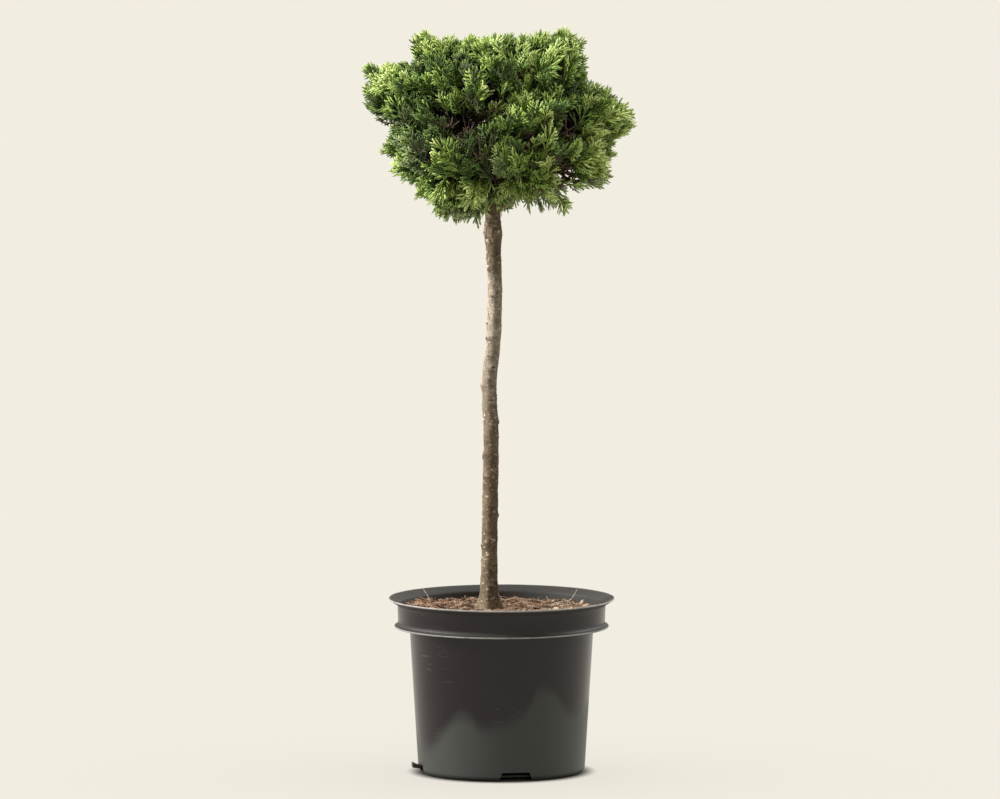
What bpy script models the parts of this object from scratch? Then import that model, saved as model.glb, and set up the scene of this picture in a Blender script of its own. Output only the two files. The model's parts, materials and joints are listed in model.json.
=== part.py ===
"""Dwarf hinoki cypress, grafted on a clear stem and growing in a round nursery pot.

Metres, +Z up, with the front towards -Y. The origin is the middle of the pot's underside.
The crown is a set of foliage masses. Each mass keeps to its own space, which is a full rounded
form cut off half-way to its neighbours, and is carried by one bough that leaves the trunk.
"""

import math

import bmesh
import bpy
import numpy as np
from mathutils import Vector, noise

CLEARANCE = 0.0003  # air between two pieces that meet

# Pot: thin moulded plastic with a collar under a flared lip and four drain notches at the foot
POT_SIDES = 40
POT_HEIGHT = 0.147
POT_WALL = 0.0016
LIP_RADIUS = 0.095
LIP_EDGE = 0.0010
FLARE_DROP = 0.0065  # the lip's slope ends this far below its edge
COLLAR_TOP_RADIUS = 0.0873
COLLAR_FOOT_RADIUS = 0.0868
COLLAR_HEIGHT = 0.0246
LEDGE_RADIUS = 0.0900  # the collar's bottom edge stands out as a thin ledge
LEDGE_THICKNESS = 0.0012
BODY_TOP_RADIUS = 0.0772
BODY_FOOT_RADIUS = 0.0698
FOOT_ROUNDING = 0.0022
PAD_RADIUS = 0.046  # the flat middle of the underside
CHANNEL_RISE = 0.0025  # the shallow channel round it, which ends at the foot ring
CHANNEL_SLOPE = 0.004
FOOT_WIDTH = 0.004
NOTCH_COUNT = 4
NOTCH_TURN_DEG = 10.0  # the first notch, counted from the front towards +X
NOTCH_FOOT_WIDTH = 0.029
NOTCH_TOP_WIDTH = 0.023
NOTCH_HEIGHT = 0.0077
NOTCH_DEPTH = 0.010

# Potting mix: fills the pot to a little below the lip
SOIL_SIDES = 24
GROUND = 0.1370  # height of the ground at the stem's foot
SOIL_EDGE_DROP = 0.0022
SOIL_LUMP = 0.0011
SOIL_RINGS = (0.84, 0.64, 0.44, 0.24)  # shares of the soil's radius
SEAT_RADIUS = 0.024  # level ground round the stem's foot

# Trunk: a slim clear stem with a root flare and a graft swelling, then a leader through the crown
TRUNK_SIDES = 14
TRUNK_PATH = (  # height, sideways, towards the back
    (0.137, -0.0105, 0.0000),
    (0.180, -0.0102, 0.0006),
    (0.239, -0.0094, 0.0012),
    (0.283, -0.0087, 0.0010),
    (0.327, -0.0103, 0.0000),
    (0.366, -0.0066, -0.0008),
    (0.410, -0.0056, -0.0004),
    (0.456, -0.0072, 0.0000),
    (0.499, -0.0068, 0.0006),
    (0.552, -0.0056, -0.0020),
)
TRUNK_STEPS = 26
TRUNK_FOOT_RADIUS = 0.0068
TRUNK_CROWN_RADIUS = 0.0058
TRUNK_TOP_RADIUS = 0.0028
CROWN_FOOT = 0.470  # the leader tapers from here to the top
TRUNK_TOP = 0.547
FLARE_EXTRA = 0.0048
FLARE_HEIGHT = 0.010
FLARE_LOBES = 4
GRAFT_HEIGHT = 0.455
GRAFT_EXTRA = 0.0019
GRAFT_SPAN = 0.011

# Boughs: one tapering limb for each mass, which sweeps up from the trunk
BOUGH_SIDES = 5
BOUGH_STEPS = 5
BOUGH_FOOT_RADIUS = 0.0024
BOUGH_TIP_RADIUS = 0.0014
BOUGH_FALL = 0.52  # a bough leaves the trunk this share of its run below its mass
BOUGH_STAGGER = 0.007  # every other bough leaves this much lower
BOUGH_FOOT_SWEEP = 0.6  # of its mean rise, so it starts flatter than it ends
BOUGH_TIP_SWEEP = 1.4
BOUGH_LOWEST = 0.4710
BOUGH_HIGHEST = 0.5410
BOUGH_LEADER_ABOVE = 0.570  # the bough that would leave higher goes on from the trunk's top
BOUGH_BEND = 0.33  # how much of its length a bough gives to each end's direction

# Foliage masses: middle (sideways, towards the back, height), reach (the same three ways)
MASSES = {
    "foliage_top_left": ((-0.052, -0.010, 0.586), (0.024, 0.040, 0.037)),
    "foliage_top_middle": ((-0.006, -0.022, 0.584), (0.042, 0.046, 0.038)),
    "foliage_top_right": ((0.043, -0.012, 0.584), (0.030, 0.044, 0.041)),
    "foliage_top_back": ((-0.004, 0.036, 0.579), (0.056, 0.044, 0.041)),
    "foliage_left": ((-0.080, -0.010, 0.569), (0.038, 0.044, 0.027)),
    "foliage_right": ((0.079, -0.010, 0.551), (0.033, 0.040, 0.029)),
    "foliage_front_left": ((-0.049, -0.042, 0.540), (0.040, 0.044, 0.036)),
    "foliage_front_middle": ((-0.006, -0.053, 0.535), (0.038, 0.042, 0.036)),
    "foliage_front_right": ((0.036, -0.045, 0.543), (0.036, 0.044, 0.038)),
    "foliage_back_left": ((-0.048, 0.042, 0.540), (0.046, 0.048, 0.043)),
    "foliage_back_right": ((0.046, 0.042, 0.541), (0.046, 0.048, 0.043)),
    "foliage_lower_left": ((-0.060, -0.012, 0.527), (0.040, 0.044, 0.034)),
    "foliage_lower_front_left": ((-0.032, -0.032, 0.502), (0.038, 0.042, 0.038)),
    "foliage_lower_front_right": ((0.030, -0.031, 0.507), (0.037, 0.042, 0.037)),
    "foliage_lower_right": ((0.058, -0.010, 0.518), (0.038, 0.044, 0.034)),
    "foliage_lower_back": ((0.002, 0.034, 0.504), (0.046, 0.044, 0.038)),
}
SPACE_POWER = 2.5  # how full a mass's space is: at 2 it would be an ellipsoid
CROWN_HEART = Vector((-0.005, 0.0, 0.530))
SEED = 41
CORE_SHARE = 0.66  # of the reach: each mass is dense inside
CORE_LUMP = 0.06
CORE_SPLITS = 1
CORE_TESTS = 6  # points tested along each side of a core's faces
CORE_ROUNDS = 14
HEART_RADIUS = 0.017  # round the trunk, left open by every core
SPRAY_COUNT = 46  # directions tried for each mass
SPRAY_LIFT = 0.35  # how much of straight up is added to a spray's direction
INWARD_LIMIT = 0.25  # a spray that points more than this towards the crown's heart isn't grown
TWIG_EVERY = 4  # every so many sprays a bare twig shows beside them
TWIG_SHARE = 0.86  # of the reach
TWIG_FOOT_RADIUS = 0.0016
TWIG_TIP_RADIUS = 0.0008
SPRAY_ROOT_SHARE = 0.46  # of the reach: sprays start here, well inside the core
SPRAY_LONGEST = 0.036
SPRAY_SHORTEST = 0.014
SPRAY_THICKNESS = 0.0013
SPRAY_CUP = 0.0016
SPRAY_HUB = 0.42  # of the spray's length, from its root
SPRAY_TIPS = ((0.0, 0.58), (36.0, 0.56), (74.0, 0.46))  # angle from the axis, share of the length
SPRAY_NOTCH = 0.62  # of the mean of the tips beside it
LIMB_AIR = 0.0012  # least air between foliage and a limb


# Meshes and materials
def material(name, colour, roughness):
    made = bpy.data.materials.new(name)
    made.use_nodes = True
    shader = made.node_tree.nodes["Principled BSDF"]
    shader.inputs["Base Color"].default_value = (*colour, 1.0)
    shader.inputs["Roughness"].default_value = roughness
    shader.inputs["Metallic"].default_value = 0.0
    return made


def add_object(name, mesh, paint=None):
    obj = bpy.data.objects.new(name, mesh)
    bpy.context.scene.collection.objects.link(obj)
    if paint is not None:
        mesh.materials.append(paint)
    return obj


def mesh_of(name, points, faces):
    mesh = bpy.data.meshes.new(name)
    mesh.from_pydata([tuple(p) for p in points], [], faces)
    work = bmesh.new()
    work.from_mesh(mesh)
    bmesh.ops.recalc_face_normals(work, faces=work.faces)
    work.to_mesh(mesh)
    work.free()
    return mesh


def shade_round(obj, angle_deg=35.0):
    obj.data.shade_smooth()
    obj.data.set_sharp_from_angle(angle=math.radians(angle_deg))


def turned(name, profile, sides):
    """A closed body turned round Z from (radius, height) pairs that start and end on the axis."""
    work = bmesh.new()
    points = [work.verts.new((radius, 0.0, height)) for radius, height in profile]
    edges = [work.edges.new(pair) for pair in zip(points, points[1:])]
    bmesh.ops.spin(
        work, geom=points + edges, cent=(0, 0, 0), axis=(0, 0, 1),
        angle=math.tau, steps=sides, use_merge=True, use_duplicate=False,
    )
    bmesh.ops.remove_doubles(work, verts=work.verts, dist=1e-6)
    bmesh.ops.recalc_face_normals(work, faces=work.faces)
    mesh = bpy.data.meshes.new(name)
    work.to_mesh(mesh)
    work.free()
    return mesh


def ring_faces(rings, sides):
    """Faces of a closed body made of rings of points, with a flat cap at each end."""
    faces = [tuple(reversed(range(sides)))]
    for ring in range(rings - 1):
        a, b = ring * sides, (ring + 1) * sides
        faces += [(a + k, a + (k + 1) % sides, b + (k + 1) % sides, b + k) for k in range(sides)]
    faces.append(tuple(range((rings - 1) * sides, rings * sides)))
    return faces


def tube(name, centres, radii, sides, tangents):
    """A closed tapering limb. Each ring is square to its tangent."""
    points = []
    side = None
    for centre, radius, tangent in zip(centres, radii, tangents):
        start = side if side is not None else Vector((0.3, 0.2, 1.0))
        across = tangent.cross(start)
        if across.length < 1e-6:
            across = tangent.cross(Vector((1.0, 0.0, 0.0)))
        across.normalize()
        side = across.cross(tangent).normalized()
        for k in range(sides):
            angle = math.tau * k / sides
            points.append(centre + radius * (math.cos(angle) * side + math.sin(angle) * across))
    return mesh_of(name, points, ring_faces(len(centres), sides))


# Pot
def body_inner_radius(height):
    """Inner radius of the pot's body, less any collar, at a height."""
    low, high = CHANNEL_RISE + POT_WALL, POT_HEIGHT - COLLAR_HEIGHT + POT_WALL
    share = (height - low) / (high - low)
    return BODY_FOOT_RADIUS + share * (BODY_TOP_RADIUS - BODY_FOOT_RADIUS) - POT_WALL


def collar_inner_radius(height):
    low, high = POT_HEIGHT - COLLAR_HEIGHT + POT_WALL, POT_HEIGHT - FLARE_DROP
    share = (height - low) / (high - low)
    return COLLAR_FOOT_RADIUS + share * (COLLAR_TOP_RADIUS - COLLAR_FOOT_RADIUS) - POT_WALL


def pot_profile():
    ledge = POT_HEIGHT - COLLAR_HEIGHT
    flare = POT_HEIGHT - FLARE_DROP
    foot = BODY_FOOT_RADIUS - FOOT_ROUNDING
    outside = [
        (0.0, 0.0),
        (PAD_RADIUS, 0.0),
        (PAD_RADIUS + CHANNEL_SLOPE, CHANNEL_RISE),
        (foot - FOOT_WIDTH - FOOT_ROUNDING, CHANNEL_RISE),
        (foot - FOOT_WIDTH, 0.0),
        (foot, 0.0),
        (BODY_FOOT_RADIUS, FOOT_ROUNDING),
        (BODY_TOP_RADIUS, ledge),
        (LEDGE_RADIUS, ledge),
        (LEDGE_RADIUS, ledge + LEDGE_THICKNESS),
        (COLLAR_FOOT_RADIUS, ledge + 2 * LEDGE_THICKNESS),
        (COLLAR_TOP_RADIUS, flare),
        (LIP_RADIUS, POT_HEIGHT - LIP_EDGE),
        (LIP_RADIUS - LIP_EDGE / 2, POT_HEIGHT),
    ]
    shelf = ledge + POT_WALL
    floor = CHANNEL_RISE + POT_WALL
    inside = [
        (COLLAR_TOP_RADIUS - POT_WALL, flare + POT_WALL / 2),
        (collar_inner_radius(shelf), shelf),
        (body_inner_radius(shelf), shelf),
        (body_inner_radius(floor), floor),
        (PAD_RADIUS + CHANNEL_SLOPE - POT_WALL, floor),
        (PAD_RADIUS - POT_WALL, POT_WALL),
        (0.0, POT_WALL),
    ]
    return outside + inside


def notch_cutter():
    """One mesh that holds a wedge for each drain notch at the foot of the pot."""
    low, high = -0.002, NOTCH_HEIGHT
    spread = (NOTCH_FOOT_WIDTH - NOTCH_TOP_WIDTH) / NOTCH_HEIGHT
    half_low = (NOTCH_FOOT_WIDTH - low * spread) / 2
    half_high = NOTCH_TOP_WIDTH / 2
    near, far = BODY_FOOT_RADIUS - NOTCH_DEPTH, BODY_FOOT_RADIUS + NOTCH_DEPTH
    points, faces = [], []
    for n in range(NOTCH_COUNT):
        turn = math.radians(NOTCH_TURN_DEG - 90.0 + 360.0 * n / NOTCH_COUNT)
        out = Vector((math.cos(turn), math.sin(turn), 0.0))
        along = Vector((-out.y, out.x, 0.0))
        first = len(points)
        for reach in (near, far):
            for half, height in ((-half_low, low), (half_low, low), (half_high, high), (-half_high, high)):
                points.append(out * reach + along * half + Vector((0.0, 0.0, height)))
        faces += [tuple(first + k for k in face) for face in (
            (0, 1, 2, 3), (7, 6, 5, 4), (0, 4, 5, 1), (1, 5, 6, 2), (2, 6, 7, 3), (3, 7, 4, 0),
        )]
    return mesh_of("notch_cutter", points, faces)


def make_pot():
    pot = add_object(
        "pot", turned("pot", pot_profile(), POT_SIDES), material("black_plastic", (0.016, 0.016, 0.017), 0.38)
    )
    cutter = add_object("notch_cutter", notch_cutter())
    cutter.hide_render = True
    cutter.display_type = "WIRE"
    cut = pot.modifiers.new("drain_notches", "BOOLEAN")
    cut.operation = "DIFFERENCE"
    cut.object = cutter
    shade_round(pot, 25.0)


# Potting mix
def make_soil():
    shelf = POT_HEIGHT - COLLAR_HEIGHT + POT_WALL + CLEARANCE
    floor = CHANNEL_RISE + POT_WALL + CLEARANCE
    edge = GROUND - SOIL_EDGE_DROP
    top_radius = collar_inner_radius(edge) - CLEARANCE
    profile = [
        (0.0, floor),
        (body_inner_radius(floor) - CLEARANCE, floor),
        (body_inner_radius(shelf) - CLEARANCE, shelf),
        (collar_inner_radius(shelf) - CLEARANCE, shelf),
        (top_radius, edge),
        *((share * top_radius, GROUND) for share in SOIL_RINGS),
        (0.0, GROUND),
    ]
    soil = add_object(
        "soil", turned("soil", profile, SOIL_SIDES), material("potting_mix", (0.11, 0.060, 0.032), 0.95)
    )
    foot = Vector(TRUNK_PATH[0][1:])
    for vertex in soil.data.vertices:
        if vertex.co.z < GROUND - 1e-5:
            continue
        away = (vertex.co.xy - foot).length - SEAT_RADIUS
        if away > 0.0:
            share = min(1.0, away / SEAT_RADIUS)
            lump = noise.noise(vertex.co * 70.0) - 0.6
            vertex.co.z += share * (SOIL_LUMP * lump - 0.5 * SOIL_EDGE_DROP * share)
    shade_round(soil, 60.0)


# Trunk
def trunk_centre(height):
    """The trunk's axis at a height, on a smooth curve through its path."""
    heights = [station[0] for station in TRUNK_PATH]
    last = len(TRUNK_PATH) - 1
    at = max(0, min(last - 1, int(np.searchsorted(heights, height)) - 1))
    span = heights[at + 1] - heights[at]
    t = (height - heights[at]) / span

    def slope(k, axis):
        before, after = max(k - 1, 0), min(k + 1, last)
        return (TRUNK_PATH[after][axis] - TRUNK_PATH[before][axis]) / (heights[after] - heights[before])

    found = []
    for axis in (1, 2):
        a, b = TRUNK_PATH[at][axis], TRUNK_PATH[at + 1][axis]
        da, db = slope(at, axis) * span, slope(at + 1, axis) * span
        found.append(
            (2 * t**3 - 3 * t**2 + 1) * a + (t**3 - 2 * t**2 + t) * da
            + (3 * t**2 - 2 * t**3) * b + (t**3 - t**2) * db
        )
    return Vector((found[0], found[1], height))


def trunk_radius(height):
    """Mean radius of the trunk, less its root lobes."""
    if height < CROWN_FOOT:
        share = (height - GROUND) / (CROWN_FOOT - GROUND)
        plain = TRUNK_FOOT_RADIUS + share * (TRUNK_CROWN_RADIUS - TRUNK_FOOT_RADIUS)
    else:
        share = (height - CROWN_FOOT) / (TRUNK_TOP - CROWN_FOOT)
        plain = TRUNK_CROWN_RADIUS + share * (TRUNK_TOP_RADIUS - TRUNK_CROWN_RADIUS)
    flare = FLARE_EXTRA * math.exp(-(height - GROUND) / FLARE_HEIGHT)
    graft = GRAFT_EXTRA * math.exp(-(((height - GRAFT_HEIGHT) / GRAFT_SPAN) ** 2))
    return plain + flare + graft


def make_trunk():
    foot = GROUND + CLEARANCE
    even = [foot + (TRUNK_TOP - foot) * k / TRUNK_STEPS for k in range(TRUNK_STEPS + 1)]
    points = []
    for height in sorted(even + [foot + FLARE_HEIGHT * share for share in (0.35, 0.8)]):
        centre = trunk_centre(height)
        low = math.exp(-(height - GROUND) / FLARE_HEIGHT)
        for k in range(TRUNK_SIDES):
            angle = math.tau * k / TRUNK_SIDES
            radius = trunk_radius(height) * (1.0 + 0.16 * low * math.cos(FLARE_LOBES * angle + 0.6))
            points.append(centre + radius * Vector((math.cos(angle), math.sin(angle), 0.0)))
    trunk = add_object(
        "trunk", mesh_of("trunk", points, ring_faces(len(points) // TRUNK_SIDES, TRUNK_SIDES)),
        material("bark", (0.21, 0.165, 0.115), 0.85),
    )
    shade_round(trunk, 40.0)


# Boughs
def reach_along(reach, direction):
    """Distance from the middle of a mass to the edge of its reach."""
    return sum(abs(d / r) ** SPACE_POWER for d, r in zip(direction, reach)) ** (-1.0 / SPACE_POWER)


def bough_line(number, middle, reach):
    """Centres, radii and tangents of the limb that carries a mass, ending just outside its core."""
    middle = Vector(middle)
    top = trunk_centre(TRUNK_TOP)
    outward = Vector((middle.x - top.x, middle.y - top.y, 0.0))
    run = outward.length
    outward.normalize()
    height = middle.z - BOUGH_FALL * run
    leader = height > BOUGH_LEADER_ABOVE
    height -= BOUGH_STAGGER * (number % 2)
    height = TRUNK_TOP if leader else max(BOUGH_LOWEST, min(BOUGH_HIGHEST, height))
    rise = Vector((0.0, 0.0, (middle.z - height) / run))
    end = (outward + BOUGH_TIP_SWEEP * rise).normalized()
    if leader:
        start = Vector((0.0, 0.0, 1.0))
        foot, foot_radius = top + start * CLEARANCE, TRUNK_TOP_RADIUS
    else:
        start = (outward + BOUGH_FOOT_SWEEP * rise).normalized()
        foot_radius = BOUGH_FOOT_RADIUS
        foot = trunk_centre(height) + outward * (trunk_radius(height) + CLEARANCE + foot_radius * start.z)
    core = CORE_SHARE * (1.0 + CORE_LUMP) * reach_along(reach, end)
    if not leader:
        core = min(core, (run - HEART_RADIUS) / end.xy.length)
    tip = middle - end * (core + 2 * LIMB_AIR)
    bend = BOUGH_BEND * (tip - foot).length
    a, b, c, d = foot, foot + start * bend, tip - end * bend, tip
    centres, radii, tangents = [], [], []
    for k in range(BOUGH_STEPS):
        t = k / (BOUGH_STEPS - 1)
        s = 1.0 - t
        centres.append(s**3 * a + 3 * s * s * t * b + 3 * s * t * t * c + t**3 * d)
        radii.append(foot_radius + t * (BOUGH_TIP_RADIUS - foot_radius))
        tangents.append((3 * s * s * (b - a) + 6 * s * t * (c - b) + 3 * t * t * (d - c)).normalized())
    return centres, radii, tangents


def make_boughs():
    """One bough for each mass. Returns their lines, which the foliage keeps clear of."""
    paint = material("bough_bark", (0.15, 0.095, 0.060), 0.85)
    lines = {
        name: bough_line(number, *MASSES[name]) for number, name in enumerate(MASSES)
    }
    for name, (centres, radii, tangents) in lines.items():
        label = name.replace("foliage", "bough")
        bough = add_object(label, tube(label, centres, radii, BOUGH_SIDES, tangents), paint)
        shade_round(bough, 60.0)
    return lines


# Foliage
def limb_segments(lines):
    """Start, end and larger radius of each stretch of stem and bough, as arrays."""
    runs = [(centres, radii) for centres, radii, _ in lines.values()]
    heights = np.linspace(GRAFT_HEIGHT - 0.03, TRUNK_TOP, 12).tolist()
    runs.append(([trunk_centre(h) for h in heights], [trunk_radius(h) for h in heights]))
    starts, ends, sizes = [], [], []
    for centres, radii in runs:
        for k in range(len(centres) - 1):
            starts.append(centres[k])
            ends.append(centres[k + 1])
            sizes.append(max(radii[k], radii[k + 1]))
    return np.array(starts), np.array(ends), np.array(sizes)


def limb_air(points, limbs):
    """Least distance from any of the points to the bark of any limb."""
    starts, ends, sizes = limbs
    along = ends - starts
    offset = points[:, None, :] - starts[None]
    share = np.clip((offset * along).sum(2) / (along * along).sum(1), 0.0, 1.0)
    nearest = starts + share[..., None] * along
    return float((np.linalg.norm(points[:, None, :] - nearest, axis=2) - sizes).min())


def neighbour_planes(name):
    """Planes half-way to every other mass: normals that point away, and their offsets."""
    middle = np.array(MASSES[name][0])
    normals, offsets = [], []
    for other, (centre, _) in MASSES.items():
        if other == name:
            continue
        away = np.array(centre) - middle
        normal = away / np.linalg.norm(away)
        normals.append(normal)
        offsets.append(float(normal @ (middle + np.array(centre)) / 2 - CLEARANCE))
    return np.array(normals), np.array(offsets)


def in_space(points, name, planes, limbs, margin=0.0):
    """Whether every point lies in the mass's own space and clear of all limbs, by a margin."""
    middle, reach = np.array(MASSES[name][0]), np.array(MASSES[name][1])
    if ((np.abs((points - middle) / reach) ** SPACE_POWER).sum(axis=1) > 1.0).any():
        return False
    if (points @ planes[0].T > planes[1] - margin).any():
        return False
    return limb_air(points, limbs) >= LIMB_AIR + margin


def in_heart(point):
    """Whether a point is in the open space round the trunk."""
    return point.z < TRUNK_TOP + LIMB_AIR and (point - trunk_centre(TRUNK_TOP)).xy.length < HEART_RADIUS


def face_samples(corners):
    """Points spread over a triangle."""
    a, b, c = corners
    steps = [(i, j) for i in range(CORE_TESTS + 1) for j in range(CORE_TESTS + 1 - i)]
    return np.array([a + (b - a) * (i / CORE_TESTS) + (c - a) * (j / CORE_TESTS) for i, j in steps])


def core_mesh(name, planes, limbs, chance):
    """The dense inside of a mass: a lumpy round form, drawn in where a neighbour or a limb is near."""
    middle, reach = Vector(MASSES[name][0]), MASSES[name][1]
    work = bmesh.new()
    bmesh.ops.create_icosphere(work, subdivisions=CORE_SPLITS, radius=1.0)
    for vertex in work.verts:
        direction = vertex.co.normalized()
        lump = 1.0 + CORE_LUMP * float(chance.uniform(-1.0, 1.0))
        facing = np.maximum(planes[0] @ np.array(direction), 1e-6)
        room = float(((planes[1] - planes[0] @ np.array(middle)) / facing).min())
        size = min(CORE_SHARE * reach_along(reach, direction) * lump, room - CLEARANCE)
        while in_heart(middle + direction * size):
            size -= 0.001
        vertex.co = middle + direction * size
    for _ in range(CORE_ROUNDS):
        near = set()
        for face in work.faces:
            if limb_air(face_samples([v.co for v in face.verts]), limbs) < 2 * LIMB_AIR:
                near.update(face.verts)
        for vertex in near:
            vertex.co = middle + (vertex.co - middle) * 0.93
    mesh = bpy.data.meshes.new(name)
    work.to_mesh(mesh)
    work.free()
    return mesh


def twig_mesh(start, end, foot_radius, tip_radius, sides=3):
    direction = (end - start).normalized()
    return tube("twig", [start, end], [foot_radius, tip_radius], sides, [direction, direction])


def spray_points(root, direction, normal, length):
    """Outline of a toothed spray that lies square to normal, then its two thick points."""
    side = normal.cross(direction).normalized()
    hub = root + direction * (SPRAY_HUB * length)
    polar = []
    for k in reversed(range(len(SPRAY_TIPS))):
        polar.append(SPRAY_TIPS[k])
        if k:
            angle = (SPRAY_TIPS[k][0] + SPRAY_TIPS[k - 1][0]) / 2
            size = (SPRAY_TIPS[k][1] + SPRAY_TIPS[k - 1][1]) / 2
            polar.append((angle, SPRAY_NOTCH * size))
    mirrored = [(-angle, size) for angle, size in reversed(polar[:-1])]
    outline = [root]
    for angle, size in polar + mirrored:
        turn = math.radians(angle)
        outline.append(hub + length * size * (math.cos(turn) * direction + math.sin(turn) * side))
    lift = normal * SPRAY_CUP
    half = normal * (SPRAY_THICKNESS / 2)
    return outline, [hub + lift + half, hub + lift - half]


def spray_mesh(outline, thick):
    count = len(outline)
    faces = []
    for k in range(count):
        after = (k + 1) % count
        faces += [(k, after, count), (after, k, count + 1)]
    return mesh_of("spray", outline + thick, faces)


def spray_samples(outline, thick):
    """Points spread over a spray, close enough together that a limb can't pass between them."""
    shares = (0.35, 0.7, 1.0)
    rays = [thick[side].lerp(point, share) for point in outline for share in shares for side in (0, 1)]
    return np.array(rays + thick)


def ball_directions(count):
    """Directions spread evenly over a ball by the golden angle."""
    golden = math.pi * (3.0 - math.sqrt(5.0))
    for k in range(count):
        height = 1.0 - 2.0 * (k + 0.5) / count
        ring = math.sqrt(1.0 - height * height)
        yield Vector((ring * math.cos(golden * k), ring * math.sin(golden * k), height))


def foliage_parts(name, planes, limbs, chance):
    """Twigs and sprays of one mass, as closed meshes with their roots sunk in its core."""
    middle, reach = Vector(MASSES[name][0]), MASSES[name][1]
    inward = (CROWN_HEART - middle).normalized()
    for number, direction in enumerate(ball_directions(SPRAY_COUNT)):
        jitter = Vector(chance.uniform(-0.2, 0.2, 3).tolist())
        face = Vector(chance.normal(size=3).tolist())
        direction = (direction + jitter).normalized()
        if direction.dot(inward) > INWARD_LIMIT:
            continue
        far = reach_along(reach, direction)
        root = middle + direction * (SPRAY_ROOT_SHARE * far)
        way = (direction + Vector((0.0, 0.0, SPRAY_LIFT))).normalized()
        normal = way.cross(face).normalized()
        length = SPRAY_LONGEST
        while length >= SPRAY_SHORTEST:
            outline, thick = spray_points(root, way, normal, length)
            if in_space(spray_samples(outline, thick), name, planes, limbs):
                yield spray_mesh(outline, thick)
                break
            length *= 0.94
        if number % TWIG_EVERY:
            continue
        aside = (direction + 0.35 * normal).normalized()
        end = middle + aside * (TWIG_SHARE * reach_along(reach, aside))
        bars = np.array([middle.lerp(end, s) for s in np.linspace(0.4, 1.0, 8).tolist()])
        if in_space(bars, name, planes, limbs, TWIG_FOOT_RADIUS):
            yield twig_mesh(middle, end, TWIG_FOOT_RADIUS, TWIG_TIP_RADIUS)


def keep_main_shell(mesh):
    """Drops loose scraps, and fills any hollow that the fusing sealed."""
    work = bmesh.new()
    work.from_mesh(mesh)
    left, shells = set(work.verts), []
    while left:
        edge, shell = [left.pop()], set()
        while edge:
            vertex = edge.pop()
            shell.add(vertex)
            for link in vertex.link_edges:
                other = link.other_vert(vertex)
                if other in left:
                    left.remove(other)
                    edge.append(other)
        shells.append(shell)
    main = max(shells, key=len)
    bmesh.ops.delete(work, geom=[v for v in work.verts if v not in main], context="VERTS")
    work.to_mesh(mesh)
    work.free()


def make_mass(number, name, lines, limbs, paint):
    """Fuses the core, the stem and the sprays of one mass by a single Boolean union."""
    chance = np.random.default_rng(SEED + number)
    planes = neighbour_planes(name)
    middle = Vector(MASSES[name][0])
    mass = add_object(name, core_mesh(name, planes, limbs, chance), paint)
    centres, radii, tangents = lines[name]
    stem_start = centres[-1] + tangents[-1] * CLEARANCE
    meshes = [twig_mesh(stem_start, middle, BOUGH_TIP_RADIUS, TWIG_FOOT_RADIUS, sides=BOUGH_SIDES)]
    meshes += foliage_parts(name, planes, limbs, chance)
    group = bpy.data.collections.new(name + "_parts")
    bpy.context.scene.collection.children.link(group)
    for mesh in meshes:
        group.objects.link(bpy.data.objects.new("part", mesh))
    fuse = mass.modifiers.new("fuse", "BOOLEAN")
    fuse.operation = "UNION"
    fuse.operand_type = "COLLECTION"
    fuse.collection = group
    fuse.solver = "MANIFOLD"
    graph = bpy.context.evaluated_depsgraph_get()
    fused = bpy.data.meshes.new_from_object(mass.evaluated_get(graph))
    mass.modifiers.clear()
    mass.data = fused
    for part in list(group.objects):
        bpy.data.objects.remove(part)
    bpy.data.collections.remove(group)
    keep_main_shell(fused)
    fused.materials.clear()
    fused.materials.append(paint)


def main():
    for obj in list(bpy.data.objects):
        bpy.data.objects.remove(obj)
    make_pot()
    make_soil()
    make_trunk()
    lines = make_boughs()
    limbs = limb_segments(lines)
    paint = material("foliage_green", (0.075, 0.150, 0.022), 0.55)
    for number, name in enumerate(MASSES):
        make_mass(number, name, lines, limbs, paint)


main()
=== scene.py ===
import json
import math

import bmesh
import bpy
import numpy as np
from mathutils import Matrix, Vector, noise

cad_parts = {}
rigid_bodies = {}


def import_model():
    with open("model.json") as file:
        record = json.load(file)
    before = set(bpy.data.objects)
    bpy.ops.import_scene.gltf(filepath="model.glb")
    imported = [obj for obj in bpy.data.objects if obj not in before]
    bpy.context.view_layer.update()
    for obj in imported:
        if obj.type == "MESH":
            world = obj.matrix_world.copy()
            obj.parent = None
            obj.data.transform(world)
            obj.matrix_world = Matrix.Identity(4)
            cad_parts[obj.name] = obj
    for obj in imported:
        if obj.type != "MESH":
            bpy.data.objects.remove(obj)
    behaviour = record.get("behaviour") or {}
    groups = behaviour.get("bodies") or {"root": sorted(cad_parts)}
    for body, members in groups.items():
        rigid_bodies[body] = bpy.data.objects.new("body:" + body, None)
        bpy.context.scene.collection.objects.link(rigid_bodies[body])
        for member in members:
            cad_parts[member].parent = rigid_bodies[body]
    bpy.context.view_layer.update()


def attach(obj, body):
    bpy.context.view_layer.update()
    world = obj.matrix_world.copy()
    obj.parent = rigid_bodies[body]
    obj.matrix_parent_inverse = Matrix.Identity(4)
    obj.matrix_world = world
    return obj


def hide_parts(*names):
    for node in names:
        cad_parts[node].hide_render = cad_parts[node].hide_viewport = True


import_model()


# The pot: a round nursery container, injection moulded in thin black polypropylene. A collar
# stands out under its flared lip, and four notches in the foot let water out. The plastic is
# satin, with fine scuffs from handling. Towards the foot it turns a paler grey, which is dust and
# also a painted reflection of the pale floor. A painted highlight runs along the lip and the
# ledge, and the ledge, the lip and the inside are a lighter black as painted light.
POT_SIDES = 144
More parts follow.
